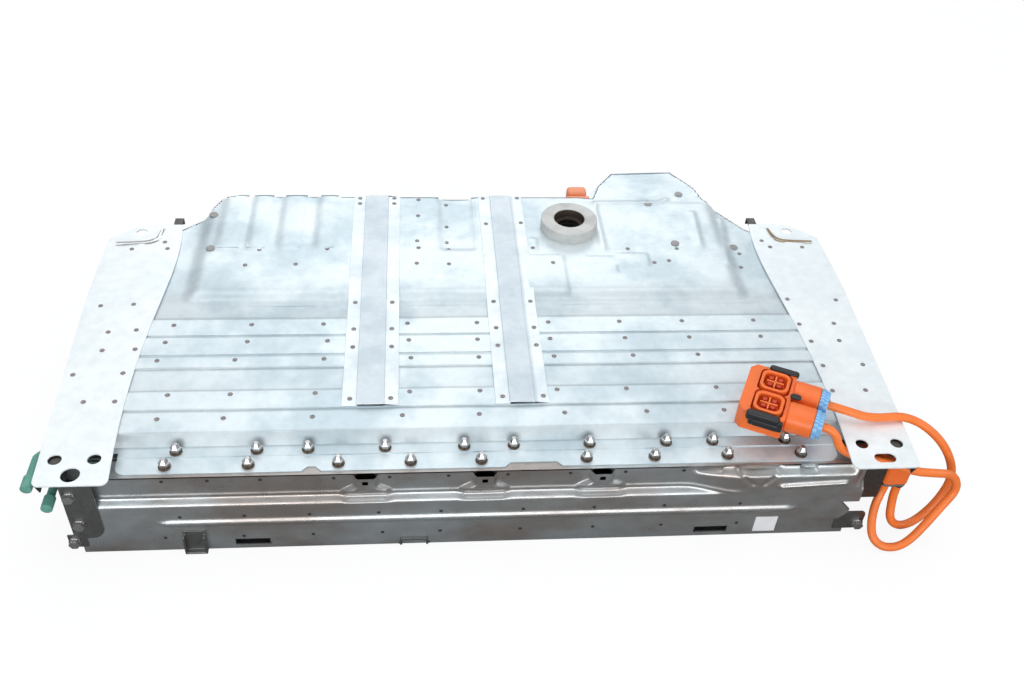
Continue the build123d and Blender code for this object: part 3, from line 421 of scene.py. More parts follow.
# -------- making pieces
def deselect():
    """Leaves edit mode and clears the selection."""
    if bpy.context.object and bpy.context.object.mode != "OBJECT":
        bpy.ops.object.mode_set(mode="OBJECT")
    bpy.ops.object.select_all(action="DESELECT")


def choose(made):
    """Makes one object the only selected and the active one."""
    deselect()
    made.select_set(True)
    bpy.context.view_layer.objects.active = made


PRESSED_SMOOTH = 60  # the angle for pressed skins, whose faces are all small


def edit(made, kind="VERT", action="SELECT"):
    """Enters edit mode on one piece, with all of it selected, or none."""
    choose(made)
    bpy.ops.object.mode_set(mode="EDIT")
    bpy.ops.mesh.select_mode(type=kind)
    bpy.ops.mesh.select_all(action=action)


def done():
    """Leaves edit mode."""
    bpy.ops.object.mode_set(mode="OBJECT")


def dress(made, name, look, replaces=(), smooth=30):
    """Names a piece, gives it its finish and slot, and sets it on the pack; smooth is an angle, 0 for a curve."""
    made.name = name
    made.data.name = name
    made.data.materials.clear()
    made.data.materials.append(finish(look))
    if smooth:
        choose(made)
        bpy.ops.object.shade_smooth_by_angle(angle=math.radians(smooth))
        if smooth < PRESSED_SMOOTH:
            even = made.modifiers.new("even", "WEIGHTED_NORMAL")
            even.keep_sharp = True
            bpy.ops.object.modifier_apply(modifier="even")
    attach(made, "root")
    if replaces:
        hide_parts(*replaces)
    deselect()
    return made


def copy_node(name):
    """A separate, merged copy of a CAD node's mesh."""
    source = frame["nodes"][name]
    made = bpy.data.objects.new(name + "_work", source.data.copy())
    bpy.context.scene.collection.objects.link(made)
    edit(made)
    bpy.ops.mesh.remove_doubles(threshold=0.00001)
    bpy.ops.mesh.dissolve_limited(angle_limit=math.radians(0.6))
    done()
    for attribute in [a.name for a in made.data.attributes if a.name.startswith("custom_normal")]:
        made.data.attributes.remove(made.data.attributes[attribute])
    return made


def round_edges(made, width, segments, test=None, least=22):
    """Rounds the edges sharper than the least angle whose ends, in millimetres, pass the test."""
    edit(made, "EDGE", "DESELECT")
    mesh = bmesh.from_edit_mesh(made.data)
    count = 0
    for edge in mesh.edges:
        if len(edge.link_faces) != 2 or edge.calc_face_angle(0) < math.radians(least):
            continue
        a, b = (v.co * 1000 for v in edge.verts)
        if test is None or test(a, b):
            edge.select_set(True)
            count += 1
    bmesh.update_edit_mesh(made.data)
    if count:
        bpy.ops.mesh.bevel(offset=width, segments=segments, affect="EDGES", clamp_overlap=True, profile=0.5)
    done()


def refit(rows, segments, least, smooth):
    """Copies CAD nodes, rounds their edges, and gives each its finish."""
    for name, look, slot, width in rows:
        piece = copy_node(name)
        round_edges(piece, width, segments, None, least)
        dress(piece, name + "_skin", look, (name,), smooth)


def join(made):
    """Joins several meshes into the first."""
    choose(made[0])
    for other in made[1:]:
        other.select_set(True)
    if len(made) > 1:
        bpy.ops.object.join()
    return made[0]


def apply_place(made):
    """Moves a piece's place, turn and size into its mesh."""
    choose(made)
    bpy.ops.object.transform_apply(location=True, rotation=True, scale=True)
    return made


def height_at(x, y, over):
    """The highest point of the given pieces above a place on the pack."""
    start = row(x, y, RAY_START)
    best = None
    for piece in over:
        hit, spot, _, _ = piece.ray_cast(start, Vector((0, 0, -1)))
        if hit and (best is None or spot.z > best):
            best = spot.z
    return best


MARK_DEPTH = 0.0008
MARK_RISE = 0.0005


def stamp(name, spots, over, radius, look):
    """A low round mark, modelled once and copied to each spot on top of the pieces."""
    deselect()
    bpy.ops.mesh.primitive_cylinder_add(vertices=14, radius=radius, depth=MARK_DEPTH, location=(0, 0, 0))
    first = bpy.context.object
    edit(first, "FACE", "DESELECT")
    mesh = bmesh.from_edit_mesh(first.data)
    for face in mesh.faces:
        face.select_set(face.normal.z > 0.9)
    bmesh.update_edit_mesh(first.data)
    bpy.ops.mesh.inset(thickness=radius * 0.42)
    bpy.ops.transform.translate(value=(0, 0, -0.00035))
    done()
    copies = []
    for x, y in spots:
        top = height_at(x, y, over)
        if top is None:
            continue
        place = row(x, y, 0)
        copy = bpy.data.objects.new(name + "_part", first.data.copy())
        bpy.context.scene.collection.objects.link(copy)
        copy.data.transform(Matrix.Translation((place.x, place.y, top + MARK_RISE - MARK_DEPTH / 2)))
        copies.append(copy)
    bpy.data.objects.remove(first)
    return dress(join(copies), name, look)


def soften(values, known, reach):
    """Blurs a grid of heights, from known places only; reach is in cells along each side."""
    for axis, width in enumerate(reach):
        span = int(max(1, round(width * 3)))
        shares = [math.exp(-0.5 * (k / width) ** 2) for k in range(-span, span + 1)]
        total, weight = numpy.zeros_like(values), numpy.zeros_like(values)
        for k, share in zip(range(-span, span + 1), shares):
            index = numpy.clip(numpy.arange(values.shape[axis]) + k, 0, values.shape[axis] - 1)
            total += share * numpy.take(values * known, index, axis)
            weight += share * numpy.take(known, index, axis)
        values = total / numpy.maximum(weight, 1e-6)
    return values


def pressed_skin(source, across, along, ray, valid, blur, extra, lift, place):
    """A sheet laid over a face of a CAD node, with its presses softened and small forms added.

    across and along are the grid's lines in millimetres, ray gives a start and a heading for each crossing,
    valid turns a hit into a height or None, extra adds the small forms, and place gives the final point.
    """
    heights = numpy.zeros((len(across), len(along)))
    known = numpy.zeros_like(heights)
    tree = BVHTree.FromPolygons([v.co for v in source.data.vertices], [p.vertices for p in source.data.polygons])
    for i, u in enumerate(across):
        for j, v in enumerate(along):
            start, heading = ray(u, v)
            spot = tree.ray_cast(start, heading)[0]
            value = valid(spot * 1000) if spot else None
            if value is not None:
                heights[i, j] = value
                known[i, j] = 1
    heights = soften(heights, known, blur)
    bpy.ops.mesh.primitive_grid_add(x_subdivisions=len(across) - 1, y_subdivisions=len(along) - 1, size=2)
    skin = bpy.context.object
    lost = set()
    for vertex in skin.data.vertices:
        i = round((vertex.co.x + 1) / 2 * (len(across) - 1))
        j = round((vertex.co.y + 1) / 2 * (len(along) - 1))
        u, v = across[i], along[j]
        vertex.co = place(u, v, extra(u, v, heights[i, j]) + lift)
        if not known[i, j]:
            lost.add(vertex.index)
    bpy.ops.object.mode_set(mode="EDIT")
    mesh = bmesh.from_edit_mesh(skin.data)
    bmesh.ops.delete(mesh, geom=[f for f in mesh.faces if any(v.index in lost for v in f.verts)], context="FACES")
    bmesh.update_edit_mesh(skin.data)
    bpy.ops.object.mode_set(mode="OBJECT")
    return skin


def drop_faces(made, test):
    """Deletes the faces that pass the test on their corners, in millimetres, and their normal."""
    edit(made)
    mesh = bmesh.from_edit_mesh(made.data)
    gone = [f for f in mesh.faces if test([v.co * 1000 for v in f.verts], f.normal)]
    bmesh.ops.delete(mesh, geom=gone, context="FACES")
    bmesh.update_edit_mesh(made.data)
    done()


def bevel_all(made, offset, segments):
    """Rounds every edge of a mesh."""
    edit(made)
    bpy.ops.mesh.bevel(offset=offset, segments=segments, affect="EDGES")
    done()
    return made


def sink_end(made, rim, depth):
    """Insets the lower end of an upright cylinder and sinks it, which makes a cup."""
    edit(made, "FACE", "DESELECT")
    done()
    for face in made.data.polygons:
        face.select = face.normal.z < -0.9
    bpy.ops.object.mode_set(mode="EDIT")
    bpy.ops.mesh.inset(thickness=rim)
    bpy.ops.mesh.extrude_region_move(TRANSFORM_OT_translate={"value": (0, 0, depth)})
    done()
    return made


def cut_flat(made, point, normal):
    """Cuts a mesh along a plane, keeping both sides."""
    edit(made)
    bpy.ops.mesh.bisect(plane_co=point, plane_no=normal)
    done()


def ease(value, low, high):
    """Goes smoothly from 0 at low to 1 at high."""
    t = min(max((value - low) / (high - low), 0), 1)
    return t * t * (3 - 2 * t)


def step(value, at, reach):
    """Goes smoothly from 0 to 1 across a line."""
    return ease(value, at - reach, at + reach)


def cad(look, *names):
    """Gives CAD nodes a finish in their own slots."""
    for name in names:
        piece = frame["nodes"][name]
        if not piece.data.materials:
            piece.data.materials.append(None)
        for i in range(len(piece.data.materials)):
            piece.data.materials[i] = finish(look)


# -------- camera, light and floor
CAMERA_SPOT = (-95, -907.3, 1191.3)
CAMERA_ANGLES = (41.18, 6.81, 3.88)  # pitch down, yaw to the right and roll, in degrees
CAMERA_LENS = 37.25859375
LAMPS = (  # name, place, aim, width, depth and power
    ("top", (-0.3, 0.3, 2.9), (0, 0.1, 0.1), 3.0, 2.4, 31),
    ("rear", (0.1, 3.4, 2.3), (0, 0, 0.1), 3.4, 1.2, 26),
    ("front", (-0.4, -4.4, 1.15), (0, -0.3, 0.1), 6.0, 1.5, 118),
    ("side", (3.4, -0.6, 1.4), (0, 0, 0.1), 1.4, 1.0, 10),
)
FLOOR_SIZE = 14
FLOOR_SHARE = 0.87  # how much of the floor's own white the camera sees


class PACK_OT_stage(bpy.types.Operator):
    """Camera, lamps, world and floor"""
    bl_idname = "pack.stage"
    bl_label = "Stage"

    def execute(self, context):
        scene = context.scene
        scene.view_settings.view_transform = "Standard"
        pitch, yaw, roll = (math.radians(angle) for angle in CAMERA_ANGLES)
        ahead = Vector((math.sin(yaw) * math.cos(pitch), math.cos(yaw) * math.cos(pitch), -math.sin(pitch)))
        right = Vector((math.cos(yaw), -math.sin(yaw), 0))
        up = right.cross(ahead)
        across = right * math.cos(roll) + up * math.sin(roll)
        above = up * math.cos(roll) - right * math.sin(roll)
        turn = Matrix((across, above, -ahead)).transposed().to_4x4()
        bpy.ops.object.camera_add()
        camera = context.object
        camera.name = "pack_camera"
        camera.matrix_world = Matrix.Translation(row(*CAMERA_SPOT)) @ turn
        camera.data.lens = CAMERA_LENS
        camera.data.clip_end = 50
        scene.camera = camera

        world = bpy.data.worlds.new("studio")
        scene.world = world
        world.use_nodes = True
        tree = world.node_tree
        back = tree.nodes["Background"]
        path = node(tree, "ShaderNodeLightPath", (-700, 200))
        place = node(tree, "ShaderNodeTexCoord", (-1100, -100))
        split = node(tree, "ShaderNodeSeparateXYZ", (-900, -100))
        tree.links.new(place.outputs["Generated"], split.inputs[0])
        sky = ramp(tree, split.outputs["Z"],
                   ((0.0, grey(0.16)), (0.12, (0.40, 0.42, 0.44)), (0.9, (0.62, 0.66, 0.69))), (-700, -100))
        seen = mix(tree, path.outputs["Is Camera Ray"], sky, (1, 1, 1), at=(-350, 0))
        tree.links.new(seen, back.inputs["Color"])

        for name, spot, aim, width, depth, power in LAMPS:
            bpy.ops.object.light_add(type="AREA", location=spot)
            lamp = context.object
            lamp.name = name + "_lamp"
            lamp.data.shape = "RECTANGLE"
            lamp.data.size = width
            lamp.data.size_y = depth
            lamp.data.energy = power
            lamp.rotation_euler = (Vector(aim) - Vector(spot)).to_track_quat("-Z", "Y").to_euler()
        bpy.ops.mesh.primitive_plane_add(size=FLOOR_SIZE, location=(0, 0, -0.0004))
        floor = context.object
        floor.name = "floor"
        made, tree, shader, _ = start_material("floor_paper")
        shader.inputs["Roughness"].default_value = 0.9
        glow = node(tree, "ShaderNodeEmission", (0, -300), Strength=1.03)
        path = node(tree, "ShaderNodeLightPath", (-500, -300))
        tree.links.new(mix(tree, path.outputs["Is Camera Ray"], grey(0.22), grey(0.82)), shader.inputs["Base Color"])
        share = node(tree, "ShaderNodeMath", (-150, -300), operation="MULTIPLY")
        share.inputs[1].default_value = FLOOR_SHARE
        tree.links.new(path.outputs["Is Camera Ray"], share.inputs[0])
        blend = node(tree, "ShaderNodeMixShader", (200, 0))
        out = tree.nodes["Material Output"]
        tree.links.new(share.outputs[0], blend.inputs[0])
        tree.links.new(shader.outputs[0], blend.inputs[1])
        tree.links.new(glow.outputs[0], blend.inputs[2])
        tree.links.new(blend.outputs[0], out.inputs["Surface"])
        floor.data.materials.append(made)
        deselect()
        return {"FINISHED"}


# -------- cables
# Points from the seal to the outlet.
UPPER_ROUTE = (
    (470.3, 99.2, 181), (493.7, 87.8, 181), (530, 82, 169.8), (588, 88, 169.8), (638, 67, 140), (669, 54, 84),
    (655, 43, 38), (626, 31, 9), (598, 23, 6), (577, 21, 25), (577, 32, 52), (577, 35.5, 68), (577, 35.5, 86),
)
LOWER_ROUTE = (
    (450.3, 58.2, 181), (456.6, 55.1, 181), (465.1, 51, 176.8), (471.2, 48, 169.3), (474, 46.6, 159.5),
    (480.2, 43.6, 152), (488.5, 39.5, 148), (506, 34, 145.5), (546, 25, 141), (582, 16.5, 132), (614, 19, 125.5),
    (648, 28, 112), (662, 26, 84), (643, 16, 60), (620, 2, 34), (602, -7, 14), (583, -14, 7), (563.3, -14, 7),
    (551.7, -9.2, 11.8), (545, -1, 20), (545.5, 12, 33), (550, 26, 50), (557, 35, 66), (560.5, 38.5, 77),
    (560.5, 38.5, 86),
)


def smooth_line(name, spots):
    """A curve's data and its spline, along points in layout millimetres."""
    curve = bpy.data.curves.new(name, "CURVE")
    curve.dimensions = "3D"
    line = curve.splines.new("NURBS")
    line.points.add(len(spots) - 1)
    for point, spot in zip(line.points, spots):
        point.co = (*row(*spot), 1)
    line.order_u = 3
    line.use_endpoint_u = True
    return curve, line


def show(curve):
    """Puts a curve in the scene."""
    made = bpy.data.objects.new(curve.name, curve)
    bpy.context.scene.collection.objects.link(made)
    return made


def cable(name, route, replaced):
    """A round cable along its route, from its seal to the outlet; its points hold its radius."""
    curve, line = smooth_line(name, route)
    for point in line.points:
        point.radius = sizes().cable_radius
    line.resolution_u = 8
    curve.bevel_depth = 1.0
    curve.bevel_resolution = 6
    curve.use_fill_caps = True
    made = dress(show(curve), name, "orange_sheath", (replaced,), 0)
    line.use_smooth = True


class PACK_OT_cables(bpy.types.Operator):
    """The two orange cables between the plug and the outlet"""
    bl_idname = "pack.cables"
    bl_label = "Cables"

    def execute(self, context):
        cable("upper_lead", UPPER_ROUTE, "cable_upper")
        cable("lower_lead", LOWER_ROUTE, "cable_lower")
        return {"FINISHED"}


# -------- pressed cover
PRESS_FRONT = 352  # behind this line the deck is drawn as a pressed skin
COVER_STEP = 2.8


def ridge(x, y, points, width):
    """1 on a path's line, falling off over the width."""
    best = 1e9
    for (x0, y0), (x1, y1) in zip(points, points[1:]):
        run = (x1 - x0) ** 2 + (y1 - y0) ** 2
        t = min(max(((x - x0) * (x1 - x0) + (y - y0) * (y1 - y0)) / run, 0), 1)
        best = min(best, math.hypot(x - x0 - t * (x1 - x0), y - y0 - t * (y1 - y0)))
    return math.exp(-0.5 * (best / width) ** 2)


DOME_LINE = ((343, 629), (330, 619), (217, 618), (212, 600), (212, 484))
RIDGE_LINES = (((381, 585), (375, 488)), ((430, 577), (415, 446)))
DOME_RISE, DOME_WIDTH = 2.6, 4.0
RIDGE_RISE, RIDGE_WIDTH = 2.4, 4.5
PAD_RISE, PAD_RAMP = 1.8, 4
WAVE_RISE = 0.3
PADS = ((79, 143, 369, 466), (176, 227, 421, 462), (227, 282, 437, 470), (90, 103, 477, 513))


def cover_form(x, y, z):
    """The deck's height with its rear dome crease, ridges, raised pads and shallow waves."""
    z += DOME_RISE * ridge(x, y, DOME_LINE, DOME_WIDTH)
    for line in RIDGE_LINES:
        z += RIDGE_RISE * ridge(x, y, line, RIDGE_WIDTH)
    for left, right, front, rear in PADS:
        sides = step(x, left, PAD_RAMP) * (1 - step(x, right, PAD_RAMP))
        z += PAD_RISE * sides * step(y, front, PAD_RAMP) * (1 - step(y, rear, PAD_RAMP))
    return z + WAVE_RISE * math.sin(x / 37) * math.sin(y / 29)


class PACK_OT_cover(bpy.types.Operator):
    """The pressed cover: its front strips, and its rear platform with softened ribs and ramps"""
    bl_idname = "pack.cover"
    bl_label = "Cover"

    def execute(self, context):
        source = frame["nodes"]["upper_cover"]
        cover = copy_node("upper_cover")
        cut_flat(cover, row(0, PRESS_FRONT, 0), (0, 1, 0))
        edge = PRESS_FRONT + FRONT_Y
        drop_faces(cover, lambda at, normal: (
            min(p.z for p in at) > DECK_LIMIT + 0.2 and min(p.y for p in at) > edge - 0.5 and normal.z > -0.1))
        round_edges(cover, 0.0016, 2, lambda a, b: min(a.z, b.z) > DECK_LIMIT, 30)
        dress(cover, "cover_skin", "cover_steel", ("upper_cover",), 32)

        across = numpy.arange(-532, 532.1, COVER_STEP)
        along = numpy.append(numpy.arange(PRESS_FRONT - 0.5, 700, COVER_STEP), 700)
        skin = pressed_skin(
            source, across, along, lambda u, v: (row(u, v, RAY_START), Vector((0, 0, -1))),
            lambda p: p.z if p.z > DECK_LIMIT else None, (2.0, 1.7), cover_form, 0.15, row)
        dress(skin, "cover_press", "cover_steel", (), PRESSED_SMOOTH)
        return {"FINISHED"}


class PACK_OT_straps(bpy.types.Operator):
    """The two hat-shaped straps"""
    bl_idname = "pack.straps"
    bl_label = "Straps"

    def execute(self, context):
        names = ("strap_left", "strap_right")
        refit([(name, "strap_steel", "galvanised_sheet", 0.0012) for name in names], 2, 25, 32)
        return {"FINISHED"}


class PACK_OT_wings(bpy.types.Operator):
    """The side wings with their turned-down edges"""
    bl_idname = "pack.wings"
    bl_label = "Wings"

    def execute(self, context):
        fold = sizes().fold_radius
        refit([(name, "wing_steel", "galvanised_sheet", fold) for name in ("wing_left", "wing_right")], 2, 30, 30)
        return {"FINISHED"}


WELD_ROWS = (
    (307, (-450, -338, -233, -109, -5, 103, 212, 309, 421)), (269, (-456, -340, -225, -107, -6, 102, 215, 313, 423)),
    (230, (-461, -353, -228, -104, -6, 104, 221, 318)), (160, (-435, -351, -236, -106, -8, 101, 200, 330)),
    (116, (-442, -355, -237, -116, -11, 107, 222, 332)),
)
COVER_WELDS = (
    (-344, 483), (-237, 485), (-362, 443), (-284, 445), (-90, 626), (-91, 578), (-93, 506), (-91, 487), (-94, 446),
    (-43, 617), (-44, 552), (-45, 507), (-42, 485), (-43, 444), (95, 484), (124, 444), (252, 483), (334, 483),
    (290, 445), (315, 450), (441, 480), (435, 443),
)
STRAP_WELDS = (
    (-188, 355), (-188, 293), (-188, 253), (-188, 146), (-132, 355), (-132, 293), (-132, 253), (-132, 146),
    (-189, 628), (-189, 612), (-131, 628), (-131, 612), (23, 355), (23, 293), (23, 253), (23, 146), (80, 355),
    (80, 293), (80, 253), (80, 146), (21, 628), (22, 552), (80, 629), (81, 555),
)
WING_WELDS = (
    (-563, 351), (-516, 354), (-540, 291), (-501, 295), (-540, 251), (-495, 253), (-569, 201), (-502, 203),
    (-543, 147), (-502, 147), (488, 355), (566, 352), (490, 294), (545, 295), (497, 254), (541, 255), (499, 200),
    (560, 201), (497, 147), (546, 147), (487, 513), (497, 495), (552, 494), (-497, 513), (-490, 495), (-545, 494),
)


class PACK_OT_welds(bpy.types.Operator):
    """Spot-weld marks on the cover, straps and wings"""
    bl_idname = "pack.welds"
    bl_label = "Weld marks"

    def execute(self, context):
        things = bpy.data.objects
        over = [things[name + "_skin"] for name in ("cover", "strap_left", "strap_right", "wing_left", "wing_right")]
        over.append(things["cover_press"])
        deck = [(x, y) for y, xs in WELD_ROWS for x in xs] + list(COVER_WELDS)
        for name, spots in (("cover_welds", deck), ("strap_welds", STRAP_WELDS), ("wing_welds", WING_WELDS)):
            stamp(name, spots, over, sizes().weld_radius, "weld")
        return {"FINISHED"}


# -------- front beam
HOOKS = (-164, -7, 151)
SCALLOPS = ((300, 17), (366, 29), (438, 12))
BEAM_FACE = 22  # how far the lower face lies behind the pack's front
BEAM_BACK = 34  # just behind the upper face
LEDGE_FOOT = 84
LEDGE_HEIGHT = 101.5
LEDGE_LEFT, LEDGE_RIGHT = -530, 520
RELIEF_LEFT = 262  # where the pressed right end begins
RELIEF_LINES = (  # rise, path and width of the right end's creases
    (2.4, ((336, 134), (350, 116), (362, 106)), 2.2),
    (2.4, ((396, 134), (388, 118), (378, 106)), 2.2),
    (-4.2, ((402, 103), (452, 106), (492, 108)), 2.8),
)
HOLE_ROWS = (
    (128, (-427, -369, -301, -206, -133, -55, 24, 108, 183, 263)),
    (68, (-411, -327, -241, -149, -65, 47, 145, 243, 350)),
    (26, (-436, -332, -239, -145, -66, 45, 147, 244, 353)),
)


def beam_form(x, z, y):
    """The beam's depth: its tapering ledge with a crease that dips below the hooks, and its right end."""
    if z < LEDGE_FOOT or x < LEDGE_LEFT or x > LEDGE_RIGHT:
        return y
    gap = min(abs(x - hook) for hook in HOOKS)
    line = LEDGE_HEIGHT - 7.5 * (1 - ease(gap, 22, 38)) - 9 * ease(x, RELIEF_LEFT, 345)
    fade = 1 - ease(x, RELIEF_LEFT, 352)
    depth = 10 * ease(z, 87.5, line) * fade
    depth -= 1.7 * math.exp(-0.5 * ((z - line) / 1.9) ** 2) * (1 - ease(x, 335, 356)) * ease(x, -520, -508)
    half = 14 + 20 * (1 - ease(z, 101, 119))
    depth -= 8.6 * (1 - step(gap, half, 3)) * ease(z, 98, 112)
    if x > RELIEF_LEFT:
        right = ease(x, RELIEF_LEFT, 300) * (1 - ease(x, 498, 512))
        depth += 10 * ease(z, 119, 134) * right
        for centre, reach in SCALLOPS:
            arch = max(0.0, 1 - ((x - centre) / reach) ** 2)
            depth += 9 * arch ** 0.5 * ease(z, 123, 129)
        for rise, path, width in RELIEF_LINES:
            depth += rise * ridge(x, z, path, width)
        depth += 10 * ease(x, 504, 516) * ease(z, 95, 110)
    share = ease(z, LEDGE_FOOT, 88) * ease(x, LEDGE_LEFT, -520) * (1 - ease(x, 514, LEDGE_RIGHT))
    return y + (BEAM_FACE + depth - y) * share


class PACK_OT_beam(bpy.types.Operator):
    """The front beam with its creases, bead, hooks and pressed right end"""
    bl_idname = "pack.beam"
    bl_label = "Front beam"

    def execute(self, context):
        source = frame["nodes"]["front_panel"]
        beam = copy_node("front_panel")
        edge = BEAM_BACK + FRONT_Y

        def front(at, normal):
            """True for the faces that the pressed skin takes over."""
            back, foot = max(p.y for p in at), min(p.z for p in at)
            if back > edge:
                return False
            middle = sum(p.x for p in at) / len(at) - CENTRE_X
            by_hook = min(abs(middle - hook) for hook in HOOKS) < 33 and back < edge - 2.5
            return normal.y < -0.15 or (foot > LEDGE_FOOT + 2 and (by_hook or normal.y < 0.3))

        drop_faces(beam, front)
        dress(beam, "beam_skin", "beam_steel", ("front_panel",), 30)
        across = numpy.linspace(-545.8, 521.8, 420)
        along = numpy.linspace(0.2, 133.8, 104)
        skin = pressed_skin(
            source, across, along, lambda u, v: (row(u, -60, v), Vector((0, 1, 0))),
            lambda p: p.y - FRONT_Y if p.y - FRONT_Y < BEAM_BACK - 0.5 else None, (0.7, 1.6), beam_form, -0.1,
            lambda u, v, w: row(u, w, v))
        edit(skin)
        bpy.ops.mesh.flip_normals()
        done()
        dress(skin, "beam_face", "beam_steel", (), PRESSED_SMOOTH)

        marks = []
        for z, xs in HOLE_ROWS:
            y = BEAM_FACE + (10 if z > LEDGE_HEIGHT else 0) - 0.1
            for x in xs:
                deselect()
                bpy.ops.mesh.primitive_cylinder_add(
                    vertices=14, radius=0.0026, depth=0.0006, location=row(x, y, z), rotation=(math.pi / 2, 0, 0))
                marks.append(bevel_all(apply_place(context.object), 0.0002, 2))
        dress(join(marks), "beam_holes", "shadow")

        deselect()
        bpy.ops.mesh.primitive_cube_add(size=1, location=row(395, 21.5, 22.5))
        plate = context.object
        plate.scale = (0.032, 0.0008, 0.031)
        apply_place(plate)
        round_edges(plate, 0.0003, 2)
        dress(plate, "label_plate", "white_plate")
        return {"FINISHED"}


FASTENERS = (  # node, finish, slot and edge radius
    ("flange_nuts", "nut_zinc", "zinc_fasteners", 0.0009),
    ("end_bolts", "zinc", "zinc_fasteners", 0.0005),
    ("bracket_left", "bracket_zinc", "zinc_bracket", 0.0006),
    ("bracket_right", "bracket_zinc", "zinc_bracket", 0.0006),
    ("jack_foot", "bracket_zinc", "zinc_bracket", 0.0008),
    ("harness_staple", "bracket_zinc", "zinc_bracket", 0.0006),
    ("vent_collar", "hub_steel", "collar_alloy", 0.0014),
    ("outlet_plate", "dark_steel", "dark_steel", 0.0005),
)


class PACK_OT_fasteners(bpy.types.Operator):
    """Front nuts, end bolts, brackets and hooks, the collar, and the looks of the small fittings"""
    bl_idname = "pack.fasteners"
    bl_label = "Fasteners and brackets"

    def execute(self, context):
        refit(FASTENERS, 2, 28, 35)
        cad("zinc", "rim_bolts", "outlet_clamp")
        cad("dark_steel", "hook_left", "hook_right")
        cad("plug_steel", "cover_plugs")
        cad("tray_steel", "lower_tray")
        cad("black_rubber", "rim_gasket", "outlet_glands", "vent_tube")
        cad("green_rubber", "pipe_upper", "pipe_lower")
        cad("bracket_zinc", "pipe_ports")
        return {"FINISHED"}


PLUG_X, PLUG_Y, PLUG_Z = 392, 112, 160


def plug_block(u, v, height, long, wide, deep):
    """A block in the loose plug's own directions, placed by its centre."""
    turn = math.radians(-PLUG_TURN)
    x = PLUG_X + u * math.cos(turn) - v * math.sin(turn)
    y = PLUG_Y + u * math.sin(turn) + v * math.cos(turn)
    deselect()
    bpy.ops.mesh.primitive_cube_add(size=1, location=row(x, y, PLUG_Z + height), rotation=(0, 0, turn))
    block = bpy.context.object
    block.scale = (long / 1000, wide / 1000, deep / 1000)
    return apply_place(block)


WING_TOP = 164.5  # the wings' height where a ray finds none


class PACK_OT_trim(bpy.types.Operator):
    """Wire beads round the wings' rear holes, nut cups under their front holes, and corner tips"""
    bl_idname = "pack.trim"
    bl_label = "Wing trim"

    def execute(self, context):
        over = [bpy.data.objects[n] for n in ("wing_left_skin", "wing_right_skin")]
        for side, name, look, offsets in (
            (-1, "wing_bead_left", "wire_grey", (-2.6, 2.6)), (1, "wing_bead_right", "wire_tan", (-2.2, 0, 2.2)),
        ):
            wires = []
            for out in offsets:
                path = (
                    (506 + out, 546), (507 + out, 524 + out), (516 + out * 0.5, 513 + out), (532, 509 + out),
                    (572, 507 + out))
                tops = [(height_at(side * x, y, over) or WING_TOP / 1000) * 1000 for x, y in path]
                curve, _ = smooth_line("bead", [(side * x, y, top + 0.3) for (x, y), top in zip(path, tops)])
                curve.bevel_depth = 0.0010
                choose(show(curve))
                bpy.ops.object.convert(target="MESH")
                wires.append(context.object)
            dress(join(wires), name, look)
        cups, tips = [], []
        for side in (-1, 1):
            deselect()
            bpy.ops.mesh.primitive_cylinder_add(
                vertices=24, radius=0.0115, depth=0.012, location=row(side * 556, 44, 150.5))
            cups.append(sink_end(apply_place(context.object), 0.003, 0.006))
            deselect()
            bpy.ops.mesh.primitive_cone_add(
                vertices=4, radius1=0.0075, radius2=0.001, depth=0.016, location=row(side * 570, 9, 147),
                rotation=(math.pi, 0, 0))
            tips.append(bevel_all(apply_place(context.object), 0.0007, 2))
        dress(join(cups), "nut_cups", "dark_steel")
        dress(join(tips), "wing_tips", "dark_steel")
        return {"FINISHED"}


PLUG_PARTS = (  # node, finish, slot and edge radius
    ("plug_housing", "orange_plastic", "orange_plastic", 0.0022),
    ("socket_lower", "orange_plastic", "orange_plastic", 0.0012),
    ("socket_upper", "orange_plastic", "orange_plastic", 0.0012),
    ("plug_clips", "black_plastic", "black_plastic", 0.002),
    ("outlet_housing", "orange_plastic", "orange_plastic", 0.002),
    ("service_base", "orange_pale", "orange_plastic", 0.001),
    ("service_grip", "orange_pale", "orange_plastic", 0.006),
    ("shell_lower", "orange_plastic", "orange_plastic", 0.003),
    ("shell_upper", "orange_plastic", "orange_plastic", 0.003),
    ("cable_seals", "seal_ribs", "blue_seal", 0.001),
    ("pipe_caps", "green_rubber", "green_cap", 0.002),
)
SOCKET_SPREAD = 22.8  # each socket's distance from the plug's middle
PIN_SPREAD = 6.5
LATCHES = ((8, 50.5, 33, 42, 10, 11), (-2, -50, 30, 46, 11, 15))


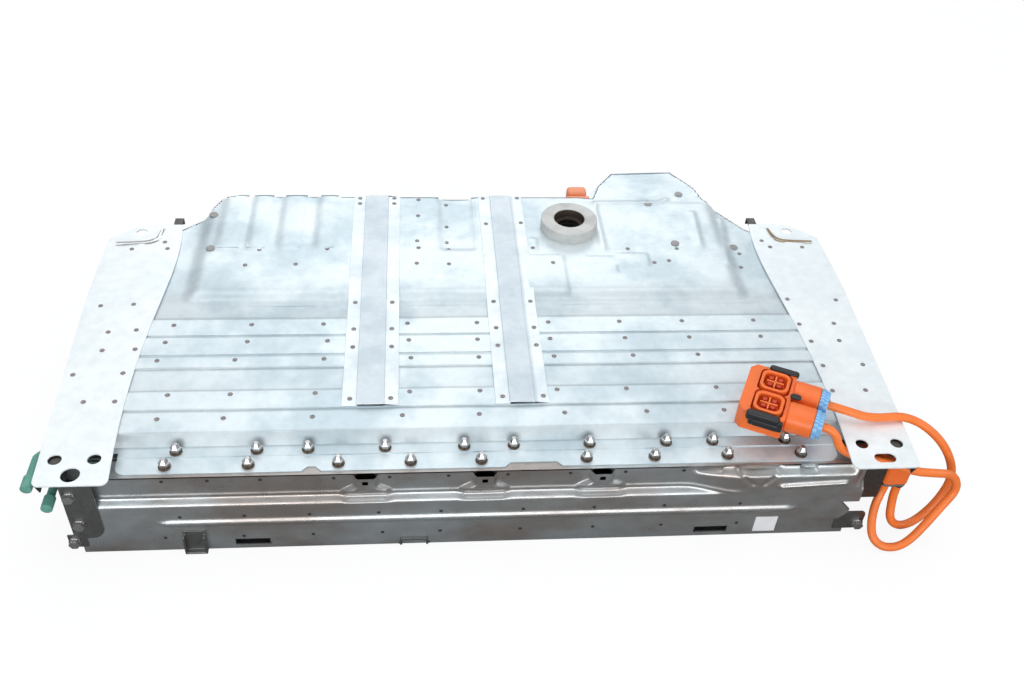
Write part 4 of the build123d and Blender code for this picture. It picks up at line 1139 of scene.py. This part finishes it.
class PACK_OT_plug(bpy.types.Operator):
    """The double plug on the deck with its fittings, the outlet, the service plug and the pipe caps"""
    bl_idname = "pack.plug"
    bl_label = "Plug"

    def execute(self, context):
        refit(PLUG_PARTS, 3, 40, 40)
        cad("orange_deep", "plug_terminals")
        webs, pins = [], []
        for v in (-SOCKET_SPREAD, SOCKET_SPREAD):
            webs += [plug_block(0, v, 29.5, long, wide, 11) for long, wide in ((24, 2.4), (2.4, 24))]
            pins += [
                plug_block(u, v + w, 29.5, 6, 6, 11)
                for w in (PIN_SPREAD, -PIN_SPREAD) for u in (-PIN_SPREAD, PIN_SPREAD)]
        for block in webs + pins:
            round_edges(block, 0.0006, 2)
        latches = [plug_block(*latch) for latch in LATCHES]
        for latch in latches:
            round_edges(latch, 0.0044, 4)
        oval = plug_block(32, 0, 38.5, 15, 10, 2)
        round_edges(oval, 0.0045, 4, lambda a, b: abs(a.z - b.z) > 1)
        dress(join(webs), "socket_webs", "orange_sheath")
        dress(join(pins), "socket_pins", "orange_deep")
        dress(join(latches + [oval]), "plug_latches", "black_plastic")
        return {"FINISHED"}


class PACK_OT_inside(bpy.types.Operator):
    """Finishes of the hidden cells and electrics"""
    bl_idname = "pack.inside"
    bl_label = "Inside"

    def execute(self, context):
        cad("can", "battery_cells")
        cad("black_plastic", "module_end_plates", "contactors", "current_sensor", "battery_ecu", "bay_board")
        cad("bracket_zinc", "module_tie_bars")
        cad("copper", "cell_bus_bars", "outlet_bars")
        cad("board", "sense_boards")
        cad("liner", "floor_liner", "main_fuse")
        return {"FINISHED"}


class PACK_PT_panel(bpy.types.Panel):
    """Lists the pack's pieces in the sidebar"""
    bl_idname = "PACK_PT_panel"
    bl_label = "EV Battery Module"
    bl_space_type = "VIEW_3D"
    bl_region_type = "UI"
    bl_category = "Battery"

    def draw(self, context):
        for owner in (context.scene.pack_sizes, context.scene.pack_colours):
            for key in owner.__annotations__:
                self.layout.prop(owner, key)
        for name in ORDER:
            self.layout.operator("pack." + name)


ORDER = ("stage", "cover", "straps", "wings", "welds", "trim", "beam", "fasteners", "plug", "cables", "inside")
CLASSES = (
    PackSizes, PackColours, PACK_OT_stage, PACK_OT_cables, PACK_OT_cover, PACK_OT_straps, PACK_OT_wings,
    PACK_OT_welds, PACK_OT_trim, PACK_OT_beam, PACK_OT_fasteners, PACK_OT_plug, PACK_OT_inside, PACK_PT_panel,
)


def register():
    """Adds the add-on's classes and its settings."""
    for kind in CLASSES:
        bpy.utils.register_class(kind)
    bpy.types.Scene.pack_sizes = bpy.props.PointerProperty(type=PackSizes)
    bpy.types.Scene.pack_colours = bpy.props.PointerProperty(type=PackColours)


def unregister():
    """Takes them away again."""
    del bpy.types.Scene.pack_colours
    del bpy.types.Scene.pack_sizes
    for kind in reversed(CLASSES):
        bpy.utils.unregister_class(kind)


def main():
    """Builds everything."""
    register()
    for name in ORDER:
        getattr(bpy.ops.pack, name)()


if __name__ == "__main__":
    main()
